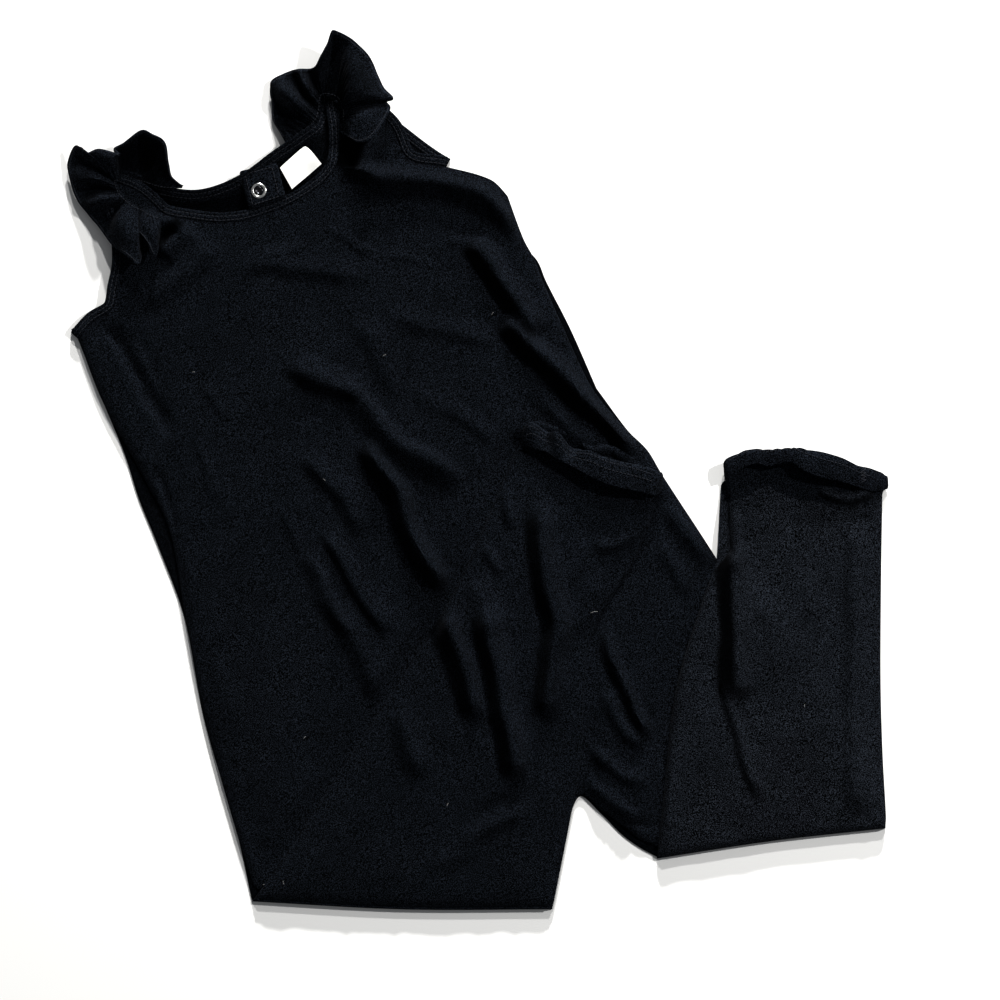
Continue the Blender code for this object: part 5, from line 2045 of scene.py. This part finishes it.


# A rib's fifth entry, where given, is the painted shade at its seam, middle and hem.
LEFT_RIBS = (
    Rib("front end", (-199.1, 155.9, 13), (-198.3, 154, 14), (-199.2, 152.3, 12)),
    Rib("front tuck", (-201.5, 156.5, 13.5), (-199.3, 150.6, 16), (-199.9, 145.4, 12)),
    Rib("inner lobe tip", (-204, 157.8, 13.5), (-200.7, 145.9, 19), (-201.5, 131.3, 16)),
    Rib("inner lobe edge", (-206.6, 159.1, 13), (-205.2, 149.1, 18), (-205.2, 138.5, 18)),
    Rib("inner lobe turn", (-208.5, 160.4, 12.5), (-210.7, 153.8, 15), (-211.9, 146.4, 15)),
    Rib("hollow", (-211.1, 162.3, 12), (-214.2, 150.2, 8.5), (-211.7, 136.5, 8), (0.27, 0.72, 0.81)),
    Rib("outer lobe tip", (-213.7, 163.6, 11.5), (-212.2, 144.3, 17), (-211.8, 126.4, 18)),
    Rib("outer lobe edge", (-216.3, 164.9, 11), (-218.8, 149, 19), (-219.7, 132.4, 17)),
    Rib("outer lobe corner", (-218.9, 166.9, 10.5), (-225.6, 153.2, 15), (-228.9, 138.8, 10)),
    Rib("side low", (-220.2, 167.6, 10), (-229.7, 161.9, 5.5), (-239.8, 152.5, 5), (0.18, 0.45, 0.27)),
    Rib("side", (-222.7, 170.1, 10), (-235.4, 166.8, 16), (-248, 161.9, 5)),
    Rib("side high", (-224.6, 172.6, 10), (-239.7, 175, 5.5), (-253.5, 170.2, 4), (0.18, 0.45, 0.36)),
    Rib("outer", (-225.8, 175.7, 10), (-238.7, 180.3, 15), (-256.9, 180.9, 4)),
    Rib("outer high", (-226.4, 177, 10), (-243.5, 189, 9), (-258.5, 191.6, 4), (0.09, 0.27, 0.09)),
    Rib("spike", (-227.1, 178.3, 9.5), (-241, 193, 16), (-252.5, 201.8, 9)),
    Rib("notch", (-227.1, 178.6, 9.5), (-237.1, 191.6, 17), (-245.1, 196.4, 14)),
    Rib("crest", (-226.8, 178.9, 9.5), (-231.7, 192.4, 20), (-236.3, 198.3, 18)),
    Rib("crest turn", (-226.1, 179.3, 8.5), (-226.2, 192.5, 19), (-223.3, 195.2, 18)),
    Rib("tuck", (-225.2, 179.7, 6), (-225.5, 189.1, 8), (-227.5, 199.1, 15), (0.54, 0.72, 0.45)),
    Rib("back low", (-223.5, 179.8, 5), (-223.5, 193.3, 5), (-220.9, 202.2, 17), (0.72, 0.81, 0.45)),
    Rib("back crest", (-219.7, 179.8, 5), (-216.6, 194.6, 5), (-209.9, 209.3, 21), (0.54, 0.63, 0.18)),
    Rib("back crest right", (-214.7, 178.9, 5), (-208.9, 194.4, 6), (-202.4, 207, 22), (0.63, 0.72, 0.27)),
    Rib("back side", (-209.6, 178.2, 5.5), (-200.2, 192, 14), (-194.7, 200.8, 22), (0.63, 0.72, 0.36)),
    Rib("back side low", (-204.4, 176.7, 7), (-197.2, 187.2, 13), (-193.4, 189.6, 18), (0.63, 0.72, 0.27)),
    Rib("back tail", (-197.2, 175.3, 8.5), (-193.8, 179.9, 11), (-191.6, 181.6, 13), (0.36, 0.45, 0.18)),
    Rib("back end", (-185.8, 175.1, 9.5), (-185.5, 176, 10), (-185.2, 176.4, 9.5)),
)

RIGHT_RIBS = (
    Rib("front end", (-84.6, 206.8, 7), (-85, 207.6, 10), (-85.5, 210.4, 12)),
    Rib("lower lobe inner", (-85.2, 209.9, 7.5), (-82.7, 212.1, 17), (-80.1, 205.1, 18), (0.62, 0.39, 0.08)),
    Rib("lower lobe", (-86.4, 212.9, 8), (-79.4, 215.6, 19), (-73.2, 202.2, 19)),
    Rib("lower lobe outer", (-85.1, 216.1, 8), (-76.3, 217.3, 20), (-64.6, 207.6, 18)),
    Rib("lower lobe corner", (-85.8, 219.2, 8), (-73.9, 221.3, 18), (-55.4, 223.2, 14)),
    Rib("crease", (-85.8, 222.3, 8), (-75.6, 225.6, 11), (-57.4, 228.7, 11), (0.47, 0.16, 0)),
    Rib("front corner", (-86.4, 224.8, 8), (-80, 228.5, 20), (-53.5, 230.7, 14)),
    Rib("front side", (-86.4, 226.7, 8), (-79, 232.4, 26), (-59.3, 237.3, 12), (0.39, 0.47, 0.08)),
    Rib("front side high", (-87, 228, 8), (-79, 239.8, 26), (-63.3, 244.8, 12), (0.55, 0.62, 0.08)),
    Rib("front high", (-87.7, 229.2, 8), (-79.7, 246.8, 25), (-66.1, 252.1, 13), (0.62, 0.66, 0.12)),
    Rib("curl", (-88.9, 230.5, 8), (-80.6, 253.1, 21), (-70.2, 258.5, 17), (0.62, 0.62, 0.08)),
    Rib("curl high", (-90.2, 231.1, 8), (-83.2, 259.9, 18), (-77.8, 265.4, 20), (0.55, 0.47, 0.08)),
    Rib("tip right", (-91.4, 231.7, 8), (-88.6, 257.9, 12), (-86.8, 270.7, 20), (0.55, 0.31, 0)),
    Rib("tip", (-95.2, 232.4, 8), (-92.6, 258.5, 9), (-91.4, 271.4, 21), (0.55, 0.23, 0)),
    Rib("tip left", (-95.8, 233, 8), (-95, 255, 11), (-93.7, 264.5, 20), (0.62, 0.39, 0.08)),
    Rib("left edge", (-97.1, 233, 8), (-99.3, 247.9, 12), (-97.6, 258.2, 17), (0.62, 0.47, 0.23)),
    Rib("left low", (-98.3, 233.1, 7.5), (-102, 243.5, 9), (-102.1, 251.2, 11), (0.7, 0.62, 0.47)),
    Rib("tuck", (-99, 231.8, 7.5), (-104.7, 240.7, 7), (-107.4, 250.6, 4), (0.7, 0.7, 0.55)),
    Rib("back ridge", (-99.3, 228.1, 7.5), (-107.8, 238, 15), (-112.6, 249.4, 9), (0.31, 0.08, 0)),
    Rib("back groove", (-99.6, 223, 7.5), (-111.1, 236, 5), (-118.5, 249, 6), (0.47, 0.55, 0.39)),
    Rib("back crest", (-100.9, 217.4, 7.5), (-116.8, 230.7, 18), (-129.1, 243.7, 4), (0.23, 0, 0)),
    Rib("back side", (-104.6, 213.6, 7.5), (-121.8, 224.7, 5), (-131.4, 237.1, 2.5), (0.31, 0.39, 0.31)),
    Rib("back bowl", (-109, 211.1, 7.5), (-123.1, 219.9, 4), (-130.2, 228.3, 2.5), (0.31, 0.7, 0.47)),
    Rib("back bowl low", (-113.4, 208.6, 7.5), (-122.4, 214, 5), (-129.5, 218.8, 2.5), (0.23, 0.62, 0.39)),
    Rib("back hem", (-117.1, 205.5, 7.5), (-121, 209.5, 6), (-125.7, 211.8, 3)),
    Rib("back end", (-120.3, 203.6, 7.5), (-120.7, 204.4, 6.5), (-121.1, 204.9, 5)),
)

FLUTTER_CUT = Cut(0.250, 0.045, 0.0065, "gathered", ("front", "back"))
RUFFLES = (Ruffle("left", LEFT_RIBS, FLUTTER_CUT), Ruffle("right", RIGHT_RIBS, FLUTTER_CUT))


# --------------------------------------------------------------------------- bindings

@dataclass(frozen=True)
class Binding:
    """A folded strip sewn along an open edge with two rows of stitches.

    Attributes:
        name: The piece's name.
        node: The solid it stands for.
        first: The place where it starts, counter-clockwise.
        last: The place where it ends.
        on_front: Whether it edges the front or the back.
        width: Its width.
        height: How thick it is.
        rise: How much higher its outer edge stands than its seam.
    """

    name: str
    node: str
    first: str
    last: str
    on_front: bool
    width: float = 6.1
    height: float = 1.8
    rise: float = 0.0

    def section(self) -> list[Place]:
        """The band's section: rounded, with a groove under each row of stitches.

        Returns:
            Its places, out from the seam and up, counter-clockwise.
        """
        w, t = self.width, self.height
        level = [(-1.2, 0.2), (0.15, 0.0), (w, 0.0), (w + 0.25, t * 0.3), (w + 0.2, t * 0.62),
                 (w - 0.3, t * 0.92), (w - 1.2, t), (w - 1.9, t * 0.93), (w - 2.3, t * 0.8),
                 (w - 2.7, t * 0.93), (w - 3.5, t), (2.2, t * 0.97), (1.65, t * 0.9), (1.3, t * 0.76),
                 (0.95, t * 0.88), (0.45, t * 0.8), (0.15, t * 0.4), (-1.2, 0.45)]
        return [(out, up + self.rise * max(out, 0.0) / w) for out, up in level]

    def build(self, lay: Lay, front: FrontPanel, wardrobe: Wardrobe) -> list[Piece]:
        """Make the binding and its stitches.

        Args:
            lay: The outlines and heights.
            front: The panel whose height it follows.
            wardrobe: The finishes.

        Returns:
            The binding, then its stitches.
        """
        outline = lay.front if self.on_front else lay.back
        path, out = outline.stretch(self.first, self.last)
        fine = through(path, 1.0)
        side = unit(read_at(np.linspace(0, 1, len(fine)), np.linspace(0, 1, len(out)), out))
        base = front.top(lay, fine) - lay.heights.cloth if self.on_front else 0.1 + lay.neck_rise(fine)
        run = run_along(fine)
        swell = 1.0 + 0.05 * np.cos(2 * math.pi * run / SEAM_PITCH) + 0.07 * ripple_along(run, 9.0, 4.0)
        places = np.column_stack((fine, base))
        band = swept(self.name, places, side, self.section(), wardrobe.jersey, swell)
        hand_in(band, Slot.JERSEY, self.node)
        thread = Thread(f"{self.name}_stitches")
        for out_by in (1.3, self.width - 2.3):
            row = places.copy()
            row[:, :2] += side * out_by
            row[:, 2] += self.height * 0.84 + self.rise * out_by / self.width
            thread.row(row)
        return [band, thread.make(wardrobe.thread)]


ACROSS_NECK = ("right shoulder inside", "left shoulder inside")
ROUND_LEFT_ARM = ("left shoulder outside", "left underarm")
ROUND_RIGHT_ARM = ("right armhole low", "right shoulder outside")
BINDINGS = (
    Binding("front_neck_band", "front_neck_binding", *ACROSS_NECK, True),
    Binding("left_armhole_band_front", "left_armhole_binding_front", *ROUND_LEFT_ARM, True),
    Binding("right_armhole_band_front", "right_armhole_binding_front", *ROUND_RIGHT_ARM, True),
    Binding("back_neck_band", "back_neck_binding", *ACROSS_NECK, False, rise=4.5),
    Binding("left_armhole_band_back", "left_armhole_binding_back", *ROUND_LEFT_ARM, False),
    Binding("right_armhole_band_back", "right_armhole_binding_back", *ROUND_RIGHT_ARM, False),
)


# --------------------------------------------------------------------------- inside the neck

def shares(columns: int, rows: int) -> tuple[Array, Array]:
    """From 0 to 1 across a grid's columns, and from 0 to 1 down its rows."""
    return np.linspace(0, 1, columns)[:, None], np.linspace(0, 1, rows)[None, :]


@dataclass(frozen=True)
class NeckPieces:
    """What lies inside the back of the neck: the placket's tab, its snap and the label.

    Attributes:
        tab: The tab's corners, from the upper left, clockwise.
        tab_grid: Its columns and rows.
        tab_box: Where its stitches run, as shares across and down it.
        label: The label's corners.
        label_grid: Its columns and rows.
        tuck: How far its upper right corner turns in, as a share of the way to its middle.
        snap: The snap's middle.
        snap_radius: The radius of the ring's middle line.
        snap_wire: Half the width of the ring's wire.
        snap_rise: Half its height.
        floor: The height of the cloth that all this lies on.
    """

    tab: tuple[Place, ...] = ((-149.7, 185.4), (-127.1, 191), (-121.5, 169.7), (-144, 162.2))
    tab_grid: tuple[int, int] = (30, 26)
    tab_box: tuple[Place, ...] = ((0.12, 0.1), (0.86, 0.1), (0.86, 0.94), (0.12, 0.94), (0.12, 0.1))
    label: tuple[Place, ...] = ((-124.7, 188), (-108.5, 203.2), (-98.6, 190.5), (-117.2, 174.6))
    label_grid: tuple[int, int] = (24, 24)
    tuck: float = 0.13
    snap: Place = (-137.8, 173.5)
    snap_radius: float = 3.95
    snap_wire: float = 0.9
    snap_rise: float = 0.45
    floor: float = 6.4

    @staticmethod
    def over(corners: Sequence[Place], u: Array, v: Array) -> Array:
        """Places over four corners, given from the upper left, clockwise, at shares across and down."""
        a, b, c, d = (np.array(corner, float) for corner in corners)
        return (a * (1 - u) + b * u) * (1 - v) + (d * (1 - u) + c * u) * v

    def build_tab(self, wardrobe: Wardrobe) -> list[Piece]:
        """Make the tab, boxed with stitches.

        Args:
            wardrobe: The finishes.

        Returns:
            The tab, then its stitches.
        """
        u, v = shares(*self.tab_grid)
        flat = self.over(self.tab, u[..., None], v[..., None])
        edge = np.minimum(np.minimum(u, 1 - u) * 24, np.minimum(v, 1 - v) * 22)
        height = self.floor + 0.5 + 1.5 * rolled(edge, 2.6) + 1.2 * smoothstep((0.2 - u - v) / 0.2)
        height += 0.18 * ripple(flat.reshape(-1, 2), 6.0, 8.0).reshape(self.tab_grid)
        grid = np.dstack((flat, height))[:, ::-1]
        tab = grid_wall("placket_tab_cloth", grid, np.full(self.tab_grid[1], 1.3), wardrobe.jersey)
        hand_in(tab, Slot.JERSEY, "placket_tab")
        thread = Thread("placket_tab_stitches")
        share = np.linspace(0, 1, 12)[:, None]
        for start, end in zip(self.tab_box, self.tab_box[1:]):
            path = (1 - share) * np.array(start) + share * np.array(end)
            places = self.over(self.tab, path[:, 0:1], path[:, 1:2])
            thread.row(np.column_stack((places, np.full(len(places), self.floor + 2.9))), 2.4, 1.9)
        return [tab, thread.make(wardrobe.thread)]

    def build_label(self, wardrobe: Wardrobe) -> Piece:
        """Make the blank label: a folded satin tape, a little bowed.

        Args:
            wardrobe: The finishes.

        Returns:
            The label.
        """
        u, v = shares(*self.label_grid)
        flat = self.over(self.label, u[..., None], v[..., None])
        corner = (u ** 5 * (1.0 - v) ** 5)[:, :, None]
        flat = flat + (flat.mean((0, 1)) - flat) * corner * self.tuck
        bow = 1.1 * np.sin(math.pi * v) * (0.4 + 0.6 * u)
        height = self.floor + 0.9 + bow + 0.3 * np.sin(2.2 * math.pi * u + 1.0)
        grid = np.dstack((flat, height))[:, ::-1]
        label = grid_wall("blank_label", grid, np.full(self.label_grid[1], 0.5), wardrobe.satin)
        return hand_in(label, Slot.SATIN, "label")

    def build_snap(self, wardrobe: Wardrobe) -> list[Piece]:
        """Make the ring snap: a bright wire ring round a cupped socket.

        Args:
            wardrobe: The finishes.

        Returns:
            The ring, then the socket.
        """
        base = self.floor + 2.6
        ring = turned_round("snap_ring_plate", self.snap, self.ring_profile(base), True, wardrobe.nickel)
        hand_in(ring, Slot.STEEL, "snap_ring")
        socket = turned_round("snap_socket", self.snap, self.socket_profile(base), False, wardrobe.socket)
        return [ring, hand_in(socket, Slot.STEEL, "snap_cap")]

    def ring_profile(self, base: float) -> list[Place]:
        """The ring's oval section, counter-clockwise."""
        return [(self.snap_radius + self.snap_wire * math.cos(a), base + self.snap_rise * (0.8 + math.sin(a)))
                for a in (2 * math.pi * k / 14 for k in range(14))]

    @staticmethod
    def socket_profile(base: float) -> list[Place]:
        """The socket, from its outer foot up over its lip into its cup.

        Args:
            base: The height it stands at.

        Returns:
            Its places, out from the middle and up.
        """
        section = ((2.5, -0.2), (2.55, 0.35), (2.35, 0.75), (2.0, 0.85), (1.7, 0.7), (1.45, 0.3), (0.7, 0.18),
                   (0.15, 0.2))
        return [(radius, base + up) for radius, up in section]


# --------------------------------------------------------------------------- lint

@dataclass(frozen=True)
class LintBits:
    """A few short pale fibres lying on the cloth, at places named by where they lie."""

    bits: tuple[tuple[str, float, float, float, float], ...] = (
        ("left shin", 70, -91, 4.6, 25), ("left shin low", -20, -212, 2.2, 80),
        ("left knee corner", -136, -262, 2.6, 10), ("left knee", -122, -261, 2.4, 120),
        ("chest", -60, 70, 2.0, 40), ("belly", -96, -8, 1.8, 150),
        ("right chest", 8, 96, 2.2, 70), ("right shin", 204, -150, 2.0, 100),
        ("left ribs", -180, 60, 1.8, 15), ("thigh", -110, -170, 2.0, 60))
    radius: float = 0.16

    def build(self, heights: Sequence[Callable[[Array], Array]], wardrobe: Wardrobe) -> Piece:
        """Make the fibres.

        Args:
            heights: The tops of the panels that they may lie on.
            wardrobe: The finishes.

        Returns:
            The fibres, as one piece.
        """
        thread = Thread("lint", self.radius)
        for _, x, y, length, turn in self.bits:
            z = max(top(np.array([[x, y]]))[0] for top in heights)
            c, s = math.cos(math.radians(turn)), math.sin(math.radians(turn))
            start = np.array((x, y, z + 0.3))
            bend = start + np.array((c, s, 0.25)) * length * 0.5
            thread.stitch(start, bend, 0.3)
            thread.stitch(bend, bend + np.array((c + s * 0.5, s - c * 0.5, -0.25)) * length * 0.45, 0.3)
        return thread.make(wardrobe.lint)


# --------------------------------------------------------------------------- studio

class Lamp(NamedTuple):
    """A round lamp: where it hangs, how big it is, and its share of the light on the floor."""

    place: str
    turn: float
    rise: float
    reach: float
    size: float
    share: float


@dataclass(frozen=True)
class Studio:
    """A pale floor, two lamps beyond the top and one at the right, a pale sky and a level-up camera.

    Attributes:
        middle: What the camera looks straight down at, in metres.
        framing: The width of the view at the floor.
        lens: The camera's focal length, in millimetres.
        sensor: The width of its film.
        gamma: The view's gamma; below 1, darks are deeper.
        light: The light that falls on the floor, in watts per square metre.
        sky: The sky's share of it.
        lamps: The lamps.
        lamp_colour: Their slightly warm white.
        sky_colour: The sky's slightly cool one.
        floor_reach: Half the width of the floor, in metres.
        floor_gap: How far the floor lies under the garment.
    """

    middle: Place = (0.0132, -0.0202)
    framing: float = 0.630
    lens: float = 85.0
    sensor: float = 36.0
    gamma: float = 0.8
    light: float = 4.75
    sky: float = 0.15
    lamps: tuple[Lamp, ...] = (
        Lamp("above", 85.0, 33.0, 4.5, 0.18, 0.21), Lamp("above, low", 85.0, 18.0, 4.5, 0.18, 0.30),
        Lamp("right", 30.0, 44.0, 1.8, 0.08, 0.34))
    lamp_colour: Place3 = (1.0, 0.99, 0.975)
    sky_colour: Place3 = (0.95, 0.97, 1.0)
    floor_reach: float = 3.0
    floor_gap: float = 0.0004

    def build_floor(self) -> None:
        """Lay the floor just under the garment."""
        mesh = bpy.data.meshes.new("floor")
        far, z = self.floor_reach, -self.floor_gap
        mesh.from_pydata([(-far, -far, z), (far, -far, z), (far, far, z), (-far, far, z)], [], [(0, 1, 2, 3)])
        mesh.materials.append(PaleFloor().make())
        floor = bpy.data.objects.new("floor", mesh)
        bpy.context.scene.collection.objects.link(floor)

    def build_lights(self) -> None:
        """Hang the lamps and set the sky."""
        for lamp in self.lamps:
            turn, rise = math.radians(lamp.turn), math.radians(lamp.rise)
            away = Vector((math.cos(turn) * math.cos(rise), math.sin(turn) * math.cos(rise), math.sin(rise)))
            light = bpy.data.lights.new(f"lamp {lamp.place}", "AREA")
            light.shape = "DISK"
            light.size = lamp.size
            light.energy = self.light * lamp.share * math.pi * lamp.reach ** 2 / math.sin(rise)
            light.color = self.lamp_colour
            hung = bpy.data.objects.new(light.name, light)
            hung.location = Vector((*self.middle, 0.0)) + away * lamp.reach
            hung.rotation_euler = away.to_track_quat("Z", "Y").to_euler()
            bpy.context.scene.collection.objects.link(hung)
        world = bpy.data.worlds.new("sky")
        world.use_nodes = True
        background = world.node_tree.nodes["Background"]
        background.inputs["Color"].default_value = (*self.sky_colour, 1.0)
        background.inputs["Strength"].default_value = self.light * self.sky / math.pi
        bpy.context.scene.world = world

    def build_camera(self) -> None:
        """Hang the camera straight above."""
        camera = bpy.data.cameras.new("camera")
        camera.lens = self.lens
        camera.sensor_width = self.sensor
        above = bpy.data.objects.new("camera", camera)
        above.location = (*self.middle, self.framing * self.lens / self.sensor)
        bpy.context.scene.collection.objects.link(above)
        bpy.context.scene.camera = above
        bpy.context.scene.view_settings.view_transform = "Standard"
        bpy.context.scene.view_settings.gamma = self.gamma


# --------------------------------------------------------------------------- the romper

def main() -> None:
    """Build the romper's looks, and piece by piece."""
    logging.basicConfig(level=logging.INFO, format="%(name)s %(message)s")
    studio = Studio()
    studio.build_camera()
    studio.build_floor()
    studio.build_lights()
    wardrobe = Wardrobe.open()
    lay = Lay()
    back, front = BackPanel(), FrontPanel()
    back_piece = back.build(lay, wardrobe)
    front_piece = front.build(lay, wardrobe)
    for leg in (LEFT_LEG, RIGHT_LEG):
        outer, under = leg.build(lay, wardrobe)
        leg.cut.declare(outer)
        leg.under_cut.declare(under)
    for cuff in (LEFT_CUFF, RIGHT_CUFF):
        cuff.build(wardrobe)
    bands = {True: [], False: []}
    for binding in BINDINGS:
        bands[binding.on_front] += binding.build(lay, front, wardrobe)
    for ruffle in RUFFLES:
        ruffle.build(wardrobe)
    neck = NeckPieces()
    inside = [*neck.build_tab(wardrobe), neck.build_label(wardrobe), *neck.build_snap(wardrobe)]
    tops = [lambda p: front.top(lay, p)]
    for leg in (LEFT_LEG, RIGHT_LEG):
        tops.append(lambda p, leg=leg: np.where(leg.outline(lay).inside(p), leg.top(lay, p), 0.0))
    LintBits().build(tops, wardrobe)
    front.cut.declare(front_piece, bands[True])
    back.cut.declare(back_piece, bands[False] + inside)
    bpy.context.view_layer.update()


if __name__ == "__main__":
    main()
